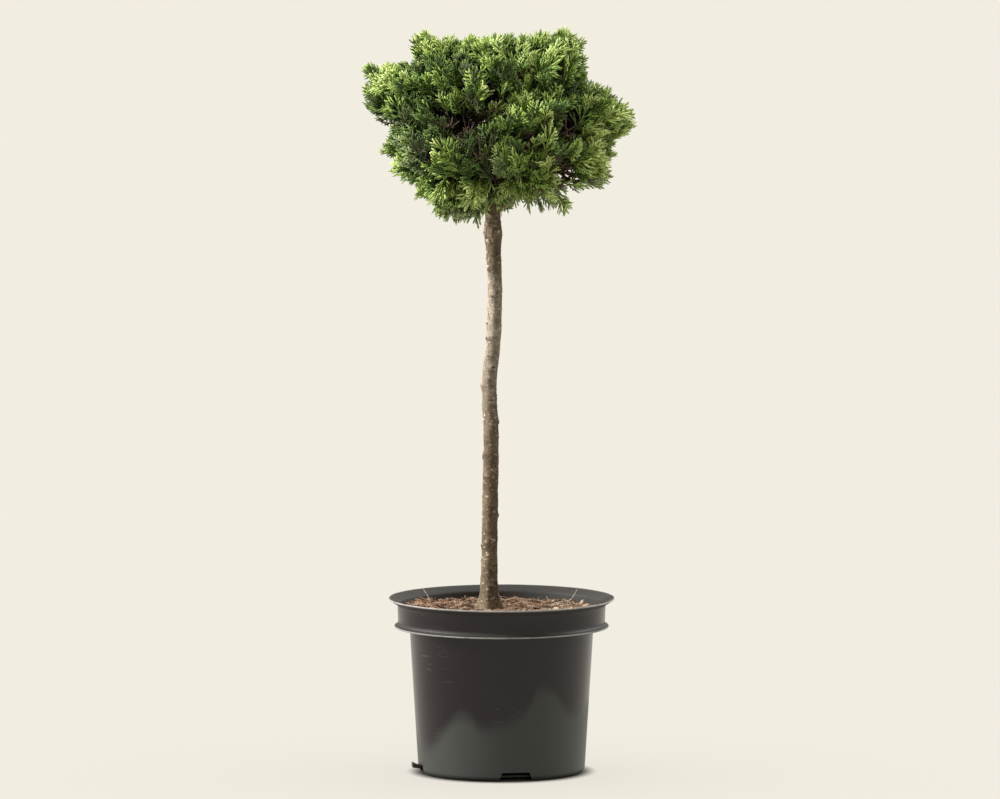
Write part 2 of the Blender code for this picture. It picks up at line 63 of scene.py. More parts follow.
POT_PROFILE = (  # radius, height and rounding of each corner, up the outside and down the inside
    (0.0000, 0.0000, 0.0), (0.0460, 0.0000, 0.4), (0.0500, 0.0025, 0.4), (0.0614, 0.0025, 0.4),
    (0.0636, 0.0000, 0.4), (0.0672, 0.0000, 1.6), (0.0699, 0.0030, 1.6), (0.0772, 0.1224, 0.7),
    (0.0897, 0.1224, 0.4), (0.0901, 0.1234, 0.3), (0.0868, 0.1252, 1.4), (0.0873, 0.1412, 1.6),
    (0.0949, 0.1460, 0.4), (0.0946, 0.1470, 0.3), (0.0858, 0.1422, 1.6), (0.0853, 0.1240, 0.8),
    (0.0757, 0.1240, 0.8), (0.0683, 0.0042, 1.0), (0.0484, 0.0042, 0.4), (0.0444, 0.0016, 0.4),
    (0.0000, 0.0016, 0.0),
)
NOTCH_TURNS = tuple(10.0 + 90.0 * n for n in range(4))  # degrees from the front towards +X
NOTCH_FOOT_WIDTH = 0.029
NOTCH_TOP_WIDTH = 0.023
NOTCH_HEIGHT = 0.0077
NOTCH_CUT = (0.0590, 0.0800)  # the radii that the notches are cut between
CUT_START = -0.002  # the height that they are cut from, a little under the floor
DUST_AND_REFLECTION_LINE = (  # how high the dust and the painted reflection of the floor reach: degrees from the front towards +X, height in metres
    (-150, 0.052), (-120, 0.040), (-95, 0.050), (-80, 0.034), (-67, 0.028), (-45, 0.037),
    (-34, 0.050), (-24, 0.057), (-15, 0.049), (-7, 0.047), (5, 0.048), (14, 0.053), (20, 0.063),
    (29, 0.078), (36, 0.076), (43, 0.064), (55, 0.0545), (68, 0.056), (80, 0.066), (110, 0.045),
    (145, 0.060),
)
CURVE_SCALE = 10.0  # a curve node keeps to 0 to 1, so its heights are in decimetres
CLEAN_BLACK = (0.0060, 0.0028, 0.0038)
# paler grey towards the foot: dust, and a painted reflection of the pale floor
DUST_AND_REFLECTION_BLACK = (0.0265, 0.0290, 0.0265)
# rougher, and lighter as painted light: the ledge, the lip, the collar's foot and the inside
DULL_AND_LIT_BLACK = (0.0265, 0.0250, 0.0240)  # on the ledge, under the collar and inside
SCUFFED_BLACK = (0.08, 0.08, 0.075)
# a painted highlight along the edges of the lip and the ledge
PAINTED_EDGE_HIGHLIGHT = (0.27, 0.255, 0.24)


def put_in(name, mesh, *finishes):
    """An object for a finished mesh, with its materials."""
    made = bpy.data.objects.new(name, mesh)
    bpy.context.scene.collection.objects.link(made)
    for finish in finishes:
        mesh.materials.append(finish)
    return made


def baked(piece):
    """Turns a piece with live modifiers into a plain mesh."""
    graph = bpy.context.evaluated_depsgraph_get()
    mesh = bpy.data.meshes.new_from_object(piece.evaluated_get(graph))
    piece.modifiers.clear()
    piece.data = mesh
    return piece


def smoothed(mesh, degrees):
    mesh.shade_smooth()
    mesh.set_sharp_from_angle(angle=math.radians(degrees))


def rounded_profile(corners):
    """Points along a profile whose corners are each rounded by so many millimetres."""
    points = []
    for k, (radius, height, rounding) in enumerate(corners):
        here = Vector((radius, height))
        if rounding == 0.0:
            points.append(here)
            continue
        ends = []
        for other in (corners[k - 1], corners[k + 1]):
            away = Vector(other[:2]) - here
            ends.append(here + away.normalized() * min(rounding / 1000.0, 0.45 * away.length))
        for t in (0.0, 0.25, 0.5, 0.75, 1.0):
            points.append((1 - t) ** 2 * ends[0] + 2 * t * (1 - t) * here + t * t * ends[1])
    return points


def turned(name, points, sides):
    """A closed body turned round Z from (radius, height) points that start and end on the axis."""
    work = bmesh.new()
    verts = [work.verts.new((p[0], 0.0, p[1])) for p in points]
    edges = [work.edges.new(pair) for pair in zip(verts, verts[1:])]
    bmesh.ops.spin(
        work, geom=verts + edges, cent=(0, 0, 0), axis=(0, 0, 1),
        angle=math.tau, steps=sides, use_merge=True, use_duplicate=False,
    )
    bmesh.ops.remove_doubles(work, verts=work.verts, dist=1e-6)
    bmesh.ops.recalc_face_normals(work, faces=work.faces)
    mesh = bpy.data.meshes.new(name)
    work.to_mesh(mesh)
    work.free()
    return mesh


def notch_wedges():
    """Four wedges, wider at the floor, that cut the drain notches."""
    points, faces = [], []
    slope = (NOTCH_FOOT_WIDTH - NOTCH_TOP_WIDTH) / NOTCH_HEIGHT / 2
    corners = ((-1, CUT_START), (1, CUT_START), (1, NOTCH_HEIGHT), (-1, NOTCH_HEIGHT))
    for turn in NOTCH_TURNS:
        angle = math.radians(turn - 90.0)
        out = Vector((math.cos(angle), math.sin(angle), 0.0))
        along = Vector((-out.y, out.x, 0.0))
        first = len(points)
        for reach in NOTCH_CUT:
            for side, height in corners:
                half = NOTCH_FOOT_WIDTH / 2 - slope * height
                points.append(out * reach + along * side * half + Vector((0.0, 0.0, height)))
        faces += [[first + k for k in face] for face in (
            (0, 1, 2, 3), (7, 6, 5, 4), (0, 4, 5, 1), (1, 5, 6, 2), (2, 6, 7, 3), (3, 7, 4, 0),
        )]
    mesh = bpy.data.meshes.new("notch_wedges")
    mesh.from_pydata(points, [], [tuple(reversed(face)) for face in faces])
    return mesh


def node(tree, kind, inputs=None, **settings):
    """Adds a node. An input is a value or another node's output."""
    made = tree.nodes.new(kind)
    for key, value in settings.items():
        setattr(made, key, value)
    for key, value in (inputs or {}).items():
        if isinstance(value, bpy.types.NodeSocket):
            tree.links.new(value, made.inputs[key])
        else:
            made.inputs[key].default_value = value
    return made


def object_place(tree):
    """Where a point of the surface is on its object."""
    return node(tree, "ShaderNodeTexCoord").outputs["Object"]


def reckoned(tree, how, *values):
    """The result of a Math node."""
    return node(tree, "ShaderNodeMath", dict(enumerate(values)), operation=how).outputs[0]


def ranged(tree, value, low, high, top=1.0, smooth=False):
    """How far a value has come from low to high, as 0 to top."""
    return node(tree, "ShaderNodeMapRange", {
        "Value": value, "From Min": low, "From Max": high, "To Max": top,
    }, interpolation_type="SMOOTHSTEP" if smooth else "LINEAR").outputs[0]


def cloudy(tree, place, scale, detail, roughness=0.5):
    """A noise texture's value."""
    return node(tree, "ShaderNodeTexNoise", {
        "Vector": place, "Scale": scale, "Detail": detail, "Roughness": roughness,
    }).outputs[0]


def blended(tree, share, *colours):
    """A colour between two. Each of them is three numbers or another node's output."""
    first, second = (c if isinstance(c, bpy.types.NodeSocket) else (*c, 1.0) for c in colours)
    return node(tree, "ShaderNodeMix", {0: share, 6: first, 7: second}, data_type="RGBA").outputs[2]


def raised(tree, shader, height, distance, strength):
    """Gives a shader the relief of a height."""
    bump = node(tree, "ShaderNodeBump", {
        "Height": height, "Distance": distance, "Strength": strength,
    })
    tree.links.new(bump.outputs[0], shader.inputs["Normal"])


def new_finish(name, colour, roughness, **plain):
    """A material with one Principled shader. Returns it, its tree and the shader."""
    made = bpy.data.materials.new(name)
    made.use_nodes = True
    shader = made.node_tree.nodes["Principled BSDF"]
    shader.inputs["Base Color"].default_value = (*colour, 1.0)
    shader.inputs["Roughness"].default_value = roughness
    for key, value in plain.items():
        shader.inputs[key.replace("_", " ")].default_value = value
    return made, made.node_tree, shader


def new_group(name, takes, gives):
    """A shader node group. Returns it, what it takes in and what it gives out, by name."""
    group = bpy.data.node_groups.new(name, "ShaderNodeTree")
    for label, kind, value in takes:
        socket = group.interface.new_socket(name=label, in_out="INPUT", socket_type=kind)
        socket.default_value = value
    for label, kind in gives:
        group.interface.new_socket(name=label, in_out="OUTPUT", socket_type=kind)
    take = group.nodes.new("NodeGroupInput").outputs
    return group, take, group.nodes.new("NodeGroupOutput").inputs


def filled(tree, group, inputs):
    """A group placed in a material with its own values. Returns its outputs."""
    return node(tree, "ShaderNodeGroup", inputs, node_tree=group).outputs


def scuffs_group():
    """Short fine scratches and specks: a mask that is 1 where the surface is scuffed."""
    group, take, give = new_group(
        "scuffs",
        [("Scale", "NodeSocketFloat", 60.0), ("Amount", "NodeSocketFloat", 0.5)],
        [("Mask", "NodeSocketFloat")],
    )
    place = object_place(group)
    lines = None
    for turn, stretch in ((0.35, 9.0), (-0.9, 7.0), (1.9, 12.0)):
        laid = node(group, "ShaderNodeMapping", {
            "Vector": place, "Rotation": (turn, turn * 0.6, turn * 1.7),
            "Scale": (1.0, 1.0, stretch),
        }).outputs[0]
        found = ranged(group, cloudy(group, laid, take["Scale"], 3.0, 0.55), 0.66, 0.74)
        lines = found if lines is None else reckoned(group, "MAXIMUM", lines, found)
    worn = ranged(group, cloudy(group, place, 26.0, 2.0), 0.48, 0.66)
    both = reckoned(group, "MULTIPLY", lines, worn)
    group.links.new(reckoned(group, "MULTIPLY", both, take["Amount"]), give["Mask"])
    return group


def dust_and_reflection_edge(tree, axes):
    """How far a point lies above the edge of the dust and the painted floor reflection, which
    follows the listed heights round the pot.
    """
    turn = reckoned(tree, "ARCTAN2", axes["X"], axes["Y"])
    share = reckoned(tree, "FRACT", reckoned(tree, "MULTIPLY_ADD", turn, -1.0 / math.tau, 1.0))
    curve = node(tree, "ShaderNodeFloatCurve", {"Value": share})
    line = curve.mapping.curves[0].points
    back = DUST_AND_REFLECTION_LINE[0][1] * CURVE_SCALE
    line[0].location, line[1].location = (0.0, back), (1.0, back)
    for degrees, height in DUST_AND_REFLECTION_LINE:
        line.new((degrees + 180.0) / 360.0, height * CURVE_SCALE)
    curve.mapping.update()
    return reckoned(tree, "MULTIPLY_ADD", curve.outputs[0], -1.0 / CURVE_SCALE, axes["Z"])


def pot_plastic():
    """Black plastic: glossy above, a paler grey below that is dust and a painted reflection of the
    floor, rougher and a lighter black as painted light on the ledge, the lip and inside, and a
    painted highlight on thin edges.
    """
    made, tree, shader = new_finish(
        "pot_plastic", (0.006, 0.004, 0.004), 0.28, Specular_IOR_Level=0.37)
    place = object_place(tree)
    axes = node(tree, "ShaderNodeSeparateXYZ", {0: place}).outputs
    flat = node(tree, "ShaderNodeCombineXYZ", {0: axes["X"], 1: axes["Y"]}).outputs[0]
    radius = node(tree, "ShaderNodeVectorMath", {0: flat}, operation="LENGTH").outputs["Value"]
    inner = node(tree, "ShaderNodeAttribute", None, attribute_name="inner").outputs["Fac"]

    cloud = cloudy(tree, place, 17.0, 2.0)
    # dust and painted reflection of the floor: a paler grey below the listed line
    above_edge = reckoned(tree, "MULTIPLY_ADD", cloud, -0.030, dust_and_reflection_edge(tree, axes))
    dust_and_reflection = ranged(tree, above_edge, -0.007, -0.027, smooth=True)
    # painted light: a lighter black on the ledge and lip, the collar's foot and the inside, which
    # are rougher too
    ledge_top = ranged(tree, radius, 0.0871, 0.0882, 0.75)
    under_collar = reckoned(tree, "MULTIPLY", ranged(tree, axes["Z"], 0.1280, 0.1266, 0.75),
                            reckoned(tree, "GREATER_THAN", radius, 0.0862))
    dull_and_lit = reckoned(tree, "MAXIMUM", reckoned(tree, "MAXIMUM", ledge_top, inner), under_collar)
    scuffed = filled(tree, scuffs, {"Scale": 60.0, "Amount": 0.4})["Mask"]

    # painted highlight: a pale line along the lip's edge and the ledge's edge, broken up by noise
    lip_edge = ranged(tree, radius, 0.0937, 0.0944)
    ledge_edge = reckoned(tree, "MULTIPLY", ranged(tree, radius, 0.0893, 0.0899, 0.9),
                          reckoned(tree, "LESS_THAN", axes["Z"], 0.135))
    painted_highlight = reckoned(tree, "MULTIPLY", reckoned(tree, "MAXIMUM", lip_edge, ledge_edge),
                       ranged(tree, cloudy(tree, place, 55.0, 3.0), 0.15, 0.50))

    colour = blended(tree, dust_and_reflection, CLEAN_BLACK, DUST_AND_REFLECTION_BLACK)
    colour = blended(tree, dull_and_lit, colour, DULL_AND_LIT_BLACK)
    colour = blended(tree, scuffed, colour, SCUFFED_BLACK)
    colour = blended(tree, painted_highlight, colour, PAINTED_EDGE_HIGHLIGHT)
    tree.links.new(colour, shader.inputs["Base Color"])
    rough = reckoned(tree, "MULTIPLY_ADD", dull_and_lit, 0.28, 0.25)
    rough = reckoned(tree, "MULTIPLY_ADD", reckoned(tree, "MAXIMUM", dust_and_reflection, dull_and_lit), 0.20, rough)
    rough = reckoned(tree, "MULTIPLY_ADD", scuffed, 0.30, rough)
    tree.links.new(rough, shader.inputs["Roughness"])
    waves, grain = cloudy(tree, place, 9.0, 1.0), cloudy(tree, place, 900.0, 2.0)
    raised(tree, shader, reckoned(tree, "MULTIPLY_ADD", grain, 0.004, waves), 0.0012, 0.5)
    return made


scuffs = scuffs_group()
pot_mesh = turned("pot_shell", rounded_profile(POT_PROFILE), POT_SIDES)
pot = put_in("pot_shell", pot_mesh, pot_plastic())
wedges = put_in("notch_wedges", notch_wedges())
cut = pot.modifiers.new("drain_notches", "BOOLEAN")
cut.operation = "DIFFERENCE"
cut.object = wedges
baked(pot)
bpy.data.objects.remove(wedges)
smoothed(pot.data, 28.0)
faces_inside = [float(face.normal.xy.dot(face.center.xy) < 0.0 and face.center.z > 0.010)
                for face in pot.data.polygons]
pot.data.attributes.new("inner", "FLOAT", "FACE").data.foreach_set("value", faces_inside)
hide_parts("pot")
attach(pot, "root")


# The potting mix: peat and coir with coarse bark, filled to a finger below the lip. It is a lumpy
# bed, dark where it is damp, heaped a little on the left and level round the trunk's foot.
GROUND = 0.1370
SOIL_RADIUS = 0.0855
SOIL_SIDES = 120
SOIL_RINGS = 46
SOIL_PROFILE = (  # radius and height, up the side that the pot hides
    (0.0, 0.0045), (0.0480, 0.0045), (0.0500, 0.0105), (0.0684, 0.0105), (0.0754, 0.1243),
    (0.0849, 0.1243),
)
TRUNK_FOOT = Vector((-0.0105, 0.0, 0.0))
LEVEL_GROUND = 0.012  # round the trunk's middle, and as far again until it is fully lumpy
BED_LUMPS = ((0.0016, 55.0), (0.0010, 160.0), (0.0006, 420.0))  # height, how close together
BED_SINK = 0.0006
BED_HEAP = 0.0042
EDGE_DROP = 0.0014


def soil_height(x, y):
    """Height of the bed at a place."""
    place = Vector((x, y, 0.0))
    away = max(0.0, (place - TRUNK_FOOT).length - LEVEL_GROUND)
    rough = min(1.0, away / LEVEL_GROUND)
    out = min(1.0, place.length / SOIL_RADIUS)
    lumps = sum(high * noise.noise(place * close) for high, close in BED_LUMPS)
    heap = BED_HEAP * max(0.0, -x / SOIL_RADIUS) ** 2 - EDGE_DROP * out**4
    return GROUND - BED_SINK * rough + heap + rough * lumps


def soil_bed():
    """The body of the mix. The rings of its top get nearer to each other towards the wall."""
    rings = [(SOIL_RADIUS * math.sqrt(1.0 - k / SOIL_RINGS), GROUND) for k in range(SOIL_RINGS + 1)]
    mesh = turned("soil_bed", [*SOIL_PROFILE, *rings], SOIL_SIDES)
    for vertex in mesh.vertices:
        if vertex.co.z > GROUND - 1e-5:
            vertex.co.z = soil_height(vertex.co.x, vertex.co.y)
    smoothed(mesh, 60.0)
    return mesh


def mottle_group():
    """Blotches and flecks between a dark and a pale colour, with a height for the relief."""
    group, take, give = new_group(
        "mottle",
        [("Scale", "NodeSocketFloat", 80.0), ("Stretch", "NodeSocketFloat", 1.0),
         ("Flecks", "NodeSocketFloat", 0.5), ("Dark", "NodeSocketColor", (0.05, 0.03, 0.02, 1.0)),
         ("Pale", "NodeSocketColor", (0.3, 0.25, 0.2, 1.0))],
        [("Colour", "NodeSocketColor"), ("Height", "NodeSocketFloat")],
    )
    axes = node(group, "ShaderNodeSeparateXYZ", {0: object_place(group)}).outputs
    up = reckoned(group, "MULTIPLY", axes["Z"], take["Stretch"])
    place = node(group, "ShaderNodeCombineXYZ", {0: axes["X"], 1: axes["Y"], 2: up}).outputs[0]
    blotch = cloudy(group, place, take["Scale"], 6.0, 0.62)
    fleck = cloudy(group, place, reckoned(group, "MULTIPLY", take["Scale"], 5.0), 3.0, 0.7)
    both = node(group, "ShaderNodeMix", {0: take["Flecks"], 2: blotch, 3: fleck}, data_type="FLOAT")
    colour = blended(group, ranged(group, both.outputs[0], 0.38, 0.62), take["Dark"], take["Pale"])
    group.links.new(colour, give["Colour"])
    group.links.new(both.outputs[0], give["Height"])
    return group


def mottled(tree, dark, pale, scale, stretch=1.0, flecks=0.5):
    """The mottles of one material, as a colour and a height."""
    return filled(tree, mottle, {
        "Scale": scale, "Stretch": stretch, "Flecks": flecks,
        "Dark": (*dark, 1.0), "Pale": (*pale, 1.0),
    })


def mottled_finish(name, dark, pale, scale, relief=0.0004, roughness=0.9):
    """A dry natural finish: bark, peat or wood."""
    made, tree, shader = new_finish(name, pale, roughness, Specular_IOR_Level=0.25)
    mottles = mottled(tree, dark, pale, scale)
    tree.links.new(mottles["Colour"], shader.inputs["Base Color"])
    raised(tree, shader, mottles["Height"], relief, 0.9)
    return made


mottle = mottle_group()
peat = mottled_finish("peat", (0.020, 0.011, 0.006), (0.13, 0.062, 0.030), 210.0, relief=0.0012)
soil = put_in("soil_bed", soil_bed(), peat)
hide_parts("soil")
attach(soil, "root")


# Chips and fibres on the bed: torn bark, splinters of pale wood and short coir fibres. They lie
# anyhow, more orange on the left and paler on the right, as the mix was poured.
CHIP_COUNT = 3600
FIBRE_COUNT = 1700
CHIP_SHAPES = 6
FIBRE_SHAPES = 3
DAMP, ORANGE, TAN, WHITISH = range(4)  # the litter's materials, in order
LITTER_REACH = 0.0835
WALL_INSIDE = 0.0850
TRUNK_CLEAR = 0.0125
PALE_CHIPS = 9  # larger ones in a heap on the right
PALE_HEAP = (0.0585, -0.006)
FINISHES = 8  # materials that one laying can deal out


def laying_tree():
    """Geometry Nodes that lay shapes on points, each with its own turn, size, shape and tint."""
    tree = bpy.data.node_groups.new("lay_shapes", "GeometryNodeTree")
    face = tree.interface
    face.new_socket(name="Points", in_out="INPUT", socket_type="NodeSocketGeometry")
    face.new_socket(name="Shapes", in_out="INPUT", socket_type="NodeSocketCollection")
    for k in range(FINISHES):
        face.new_socket(name=f"Finish {k}", in_out="INPUT", socket_type="NodeSocketMaterial")
    face.new_socket(name="Laid", in_out="OUTPUT", socket_type="NodeSocketGeometry")
    take = tree.nodes.new("NodeGroupInput").outputs
    give = tree.nodes.new("NodeGroupOutput").inputs

    def read(name, kind):
        made = node(tree, "GeometryNodeInputNamedAttribute", {"Name": name}, data_type=kind)
        return made.outputs[0]

    shapes = node(tree, "GeometryNodeCollectionInfo", {
        "Collection": take["Shapes"], "Separate Children": True, "Reset Children": True,
    })
    turn = node(tree, "FunctionNodeEulerToRotation", {0: read("turn", "FLOAT_VECTOR")})
    laid = node(tree, "GeometryNodeInstanceOnPoints", {
        "Points": take["Points"], "Instance": shapes.outputs[0], "Pick Instance": True,
        "Instance Index": read("shape", "INT"), "Rotation": turn.outputs[0],
        "Scale": read("size", "FLOAT"),
    })
    real = node(tree, "GeometryNodeRealizeInstances", {0: laid.outputs[0]}).outputs[0]
    tint = reckoned(tree, "ADD", read("tint", "FLOAT"), read("tone", "FLOAT"))
    for k in range(FINISHES):
        here = node(tree, "FunctionNodeCompare", {
            "A": tint, "B": float(k), "Epsilon": 0.4,
        }, data_type="FLOAT", operation="EQUAL")
        real = node(tree, "GeometryNodeSetMaterial", {
            "Geometry": real, "Selection": here.outputs[0], "Material": take[f"Finish {k}"],
        }).outputs[0]
    tree.links.new(real, give["Laid"])
    return tree


def laid_out(name, spots, shapes, finishes):
    """One joined mesh of shapes. Spots are (place, turn, size, shape, tint)."""
    mesh = bpy.data.meshes.new(name)
    mesh.from_pydata([spot[0] for spot in spots], [], [])
    for label, kind, column, field, number in (
        ("turn", "FLOAT_VECTOR", 1, "vector", np.float32),
        ("size", "FLOAT", 2, "value", np.float32),
        ("shape", "INT", 3, "value", np.int32),
        ("tint", "FLOAT", 4, "value", np.float32),
    ):
        values = np.array([spot[column] for spot in spots], dtype=number)
        mesh.attributes.new(label, kind, "POINT").data.foreach_set(field, values.ravel())
    piece = put_in(name, mesh)
    laying = piece.modifiers.new("lay_shapes", "NODES")
    laying.node_group = lay_shapes
    sockets = {item.name: item.identifier for item in lay_shapes.interface.items_tree}
    laying[sockets["Shapes"]] = shapes
    for k in range(FINISHES):
        laying[sockets[f"Finish {k}"]] = finishes[min(k, len(finishes) - 1)]
    return baked(piece)


def shape_store(name, meshes):
    """A hidden collection of shapes. Each face has a tone, which is added to its spot's tint."""
    store = bpy.data.collections.new(name)
    for k, mesh in enumerate(meshes):
        if "tone" not in mesh.attributes:
            mesh.attributes.new("tone", "FLOAT", "FACE")
        store.objects.link(bpy.data.objects.new(f"{name}_{k:02d}", mesh))
    return store


def shapes_gone(store):
    for shape in list(store.objects):
        bpy.data.objects.remove(shape)
    bpy.data.collections.remove(store)


def chip_mesh(chance):
    """A torn chip: a squashed block with every corner moved."""
    work = bmesh.new()
    bmesh.ops.create_cube(work, size=1.0)
    size = (1.0, chance.uniform(0.35, 0.7), chance.uniform(0.14, 0.30))
    for vertex in work.verts:
        push = Vector(chance.uniform(-0.24, 0.24, 3).tolist())
        vertex.co = [(at + by) * much for at, by, much in zip(vertex.co, push, size)]
    bmesh.ops.triangulate(work, faces=work.faces)
    bmesh.ops.recalc_face_normals(work, faces=work.faces)
    mesh = bpy.data.meshes.new("chip")
    work.to_mesh(mesh)
    work.free()
    return mesh


def ring_faces(rings, sides):
    """Faces of a closed limb made of rings of points, flat at both ends."""
    faces = []
    for ring in range(rings - 1):
        a, b = ring * sides, (ring + 1) * sides
        faces += [(a + s, a + (s + 1) % sides, b + (s + 1) % sides, b + s) for s in range(sides)]
    last = (rings - 1) * sides
    return [*faces, tuple(reversed(range(sides))), tuple(range(last, last + sides))]


def tube_parts(centres, radii, sides):
    """Points and faces of a closed round limb through centres."""
    points, across = [], Vector((0.31, 0.17, 0.93))
    for k, (centre, radius) in enumerate(zip(centres, radii)):
        before, after = centres[max(k - 1, 0)], centres[min(k + 1, len(centres) - 1)]
        along = (after - before).normalized()
        across = across - along * across.dot(along)
        if across.length < 1e-5:
            across = along.orthogonal()
        across.normalize()
        other = along.cross(across)
        for s in range(sides):
            angle = math.tau * s / sides
            points.append(centre + radius * (math.cos(angle) * across + math.sin(angle) * other))
    return points, ring_faces(len(centres), sides)


def joined_tubes(name, runs, sides):
    """One mesh of many limbs, from (centres, radii) pairs."""
    points, faces = [], []
    for centres, radii in runs:
        more, skin = tube_parts(centres, radii, sides)
        faces += [tuple(len(points) + k for k in face) for face in skin]
        points += more
    mesh = bpy.data.meshes.new(name)
    mesh.from_pydata(points, [], faces)
    mesh.shade_smooth()
    return mesh


def fibre_mesh(chance):
    """A short curled fibre, three-sided."""
    curl, rise = chance.uniform(-0.5, 0.5), chance.uniform(0.0, 0.16)
    line = [Vector((t - 0.5, curl * (t - 0.5) ** 2, rise * math.sin(math.pi * t)))
            for t in (0, 0.3, 0.7, 1)]
    return joined_tubes("fibre", [(line, (0.018, 0.026, 0.026, 0.012))], 3)


def bed_litter(chance):
    """Spots for chips and fibres over the bed, and for the heap of pale chips."""
    spots = []

    def lay(x, y, lift, turn, size, shape, tint):
        spots.append(((x, y, soil_height(x, y) + lift), turn, size, shape, tint))

    for k in range(CHIP_COUNT + FIBRE_COUNT):
        fibre = k >= CHIP_COUNT
        radius = LITTER_REACH * math.sqrt(chance.uniform(0.0, 1.0))
        angle = chance.uniform(0.0, math.tau)
        x, y = radius * math.cos(angle), radius * math.sin(angle)
        pale_side = x / WALL_INSIDE + chance.normal() * 0.55
        deal = chance.uniform()
        if fibre:
            size, shape = chance.uniform(0.006, 0.017), CHIP_SHAPES + k % FIBRE_SHAPES
            tint = TAN if deal < 0.35 or pale_side > 0.2 else ORANGE
        else:
            size, shape = 0.0017 + 0.0066 * chance.uniform() ** 3.0, k % CHIP_SHAPES
            tint = TAN if deal < 0.34 else (ORANGE if deal < 0.62 else DAMP)
            tint = WHITISH if pale_side > 1.15 else tint
        near_trunk = (Vector((x, y, 0.0)) - TRUNK_FOOT).length < TRUNK_CLEAR + size / 2
        if near_trunk or radius + size / 2 > WALL_INSIDE:
            continue
        lean = (0.5 if fibre else 0.35) * chance.normal(size=2)
        turn = (lean[0] * 0.7, lean[1] * 0.5, chance.uniform(0.0, math.tau))
        lay(x, y, 0.0004, turn, size, shape, tint)
    for k in range(PALE_CHIPS):
        x = PALE_HEAP[0] + 0.0085 * chance.normal()
        y = PALE_HEAP[1] + 0.022 * chance.normal()
        if math.hypot(x, y) < 0.078:
            turn = (0.3 * chance.normal(), 0.3 * chance.normal(), 1.3 * k)
            lay(x, y, 0.0018, turn, chance.uniform(0.0055, 0.0095), k % CHIP_SHAPES, WHITISH)
    return spots


lay_shapes = laying_tree()
litter_chance = np.random.default_rng(7)
litter_shapes = shape_store("litter", [
    *[chip_mesh(litter_chance) for _ in range(CHIP_SHAPES)],
    *[fibre_mesh(litter_chance) for _ in range(FIBRE_SHAPES)],
])
litter_finishes = [
    mottled_finish("damp_bark", (0.022, 0.012, 0.007), (0.085, 0.045, 0.025), 260.0),
    mottled_finish("orange_bark", (0.085, 0.043, 0.024), (0.32, 0.185, 0.115), 300.0),
    mottled_finish("tan_wood", (0.12, 0.078, 0.050), (0.37, 0.265, 0.185), 280.0),
    mottled_finish("pale_wood", (0.21, 0.150, 0.105), (0.58, 0.460, 0.345), 240.0),
]
litter = laid_out("bed_litter", bed_litter(litter_chance), litter_shapes, litter_finishes)
shapes_gone(litter_shapes)
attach(litter, "root")


# Loose roots: two thin pale ones that stick up out of the bed near the wall, one that lies on it,
# and a dark tuft that has grown out of the left drain notch.
ROOT_SIDES = 6
PALE_ROOTS = (  # start, bend and end, and the thickness at the start
    ((-0.0585, 0.040, 0.1335), (-0.0600, 0.040, 0.142), (-0.0672, 0.041, 0.1505), 0.00050),
    ((0.0500, 0.043, 0.1340), (0.0600, 0.043, 0.1385), (0.0635, 0.044, 0.1485), 0.00055),
    ((0.0400, 0.030, 0.1350), (0.0480, 0.034, 0.1420), (0.0580, 0.036, 0.1372), 0.00040),
)
ROOT_STEPS = 9
TUFT_ROOTS = 9
TUFT_START = (-0.0655, -0.0125, 0.0050)
TUFT_RADII = (0.0006, 0.0008, 0.0009, 0.0008, 0.0006, 0.0003)


def bent_line(start, middle, end, steps):
    """Points along a curve that starts, bends and ends at three places."""
    places = [Vector(p) for p in (start, middle, end)]
    line = []
    for k in range(steps):
        t = k / (steps - 1)
        line.append((1 - t) ** 2 * places[0] + 2 * t * (1 - t) * places[1] + t * t * places[2])
    return line


pale_root = mottled_finish(
    "pale_root", (0.26, 0.21, 0.15), (0.56, 0.50, 0.40), 300.0, roughness=0.7)
root_runs = []
for *places, thick in PALE_ROOTS:
    radii = [thick * (1.0 - 0.6 * k / ROOT_STEPS) for k in range(ROOT_STEPS)]
    root_runs.append((bent_line(*places, ROOT_STEPS), radii))
roots = put_in("loose_roots", joined_tubes("loose_roots", root_runs, ROOT_SIDES), pale_root)
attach(roots, "root")

dark_root = mottled_finish("dark_root", (0.010, 0.008, 0.006), (0.045, 0.034, 0.024), 400.0)
tuft_runs = []
for k in range(TUFT_ROOTS):
    turn, rise = 0.45 * math.sin(2.4 * k), 0.0022 + 0.0034 * ((k * 0.618) % 1.0)
    middle = (-0.0720, -0.0128 + 0.002 * turn, rise + 0.0020)
    end = (-0.0758 + 0.0015 * ((k * 0.38) % 1.0), -0.0128 + 0.0052 * turn,
           rise + 0.0030 + 0.0018 * math.cos(k))
    tuft_runs.append((bent_line(TUFT_START, middle, end, len(TUFT_RADII)), TUFT_RADII))
tuft = put_in("drain_tuft", joined_tubes("drain_tuft", tuft_runs, 5), dark_root)
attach(tuft, "root")


# The trunk: a slim clear stem, about as thick as a finger, with a swelling where the dwarf top was
# grafted on. The bark is grey-brown and nearly smooth, with small scars of cut side shoots.
TRUNK_PATH = (  # height, sideways, towards the back
    (0.137, -0.0105, 0.0000), (0.180, -0.0102, 0.0006), (0.239, -0.0094, 0.0012),
    (0.283, -0.0087, 0.0010), (0.327, -0.0103, 0.0000), (0.366, -0.0066, -0.0008),
    (0.410, -0.0056, -0.0004), (0.456, -0.0072, 0.0000), (0.499, -0.0068, 0.0006),
    (0.552, -0.0056, -0.0020),
)
CLEARANCE = 0.0003  # air between two pieces that meet
TRUNK_SIDES = 80
TRUNK_RINGS = 521
TRUNK_TOP = 0.547
TRUNK_FOOT_RADIUS = 0.0068
TRUNK_TAPER = 0.0010  # lost between the ground and the crown's foot
CROWN_FOOT = 0.470
TRUNK_CROWN_RADIUS = 0.0058
LEADER_TAPER = 0.0030  # lost between the crown's foot and the trunk's top
FLARE_EXTRA = 0.0048
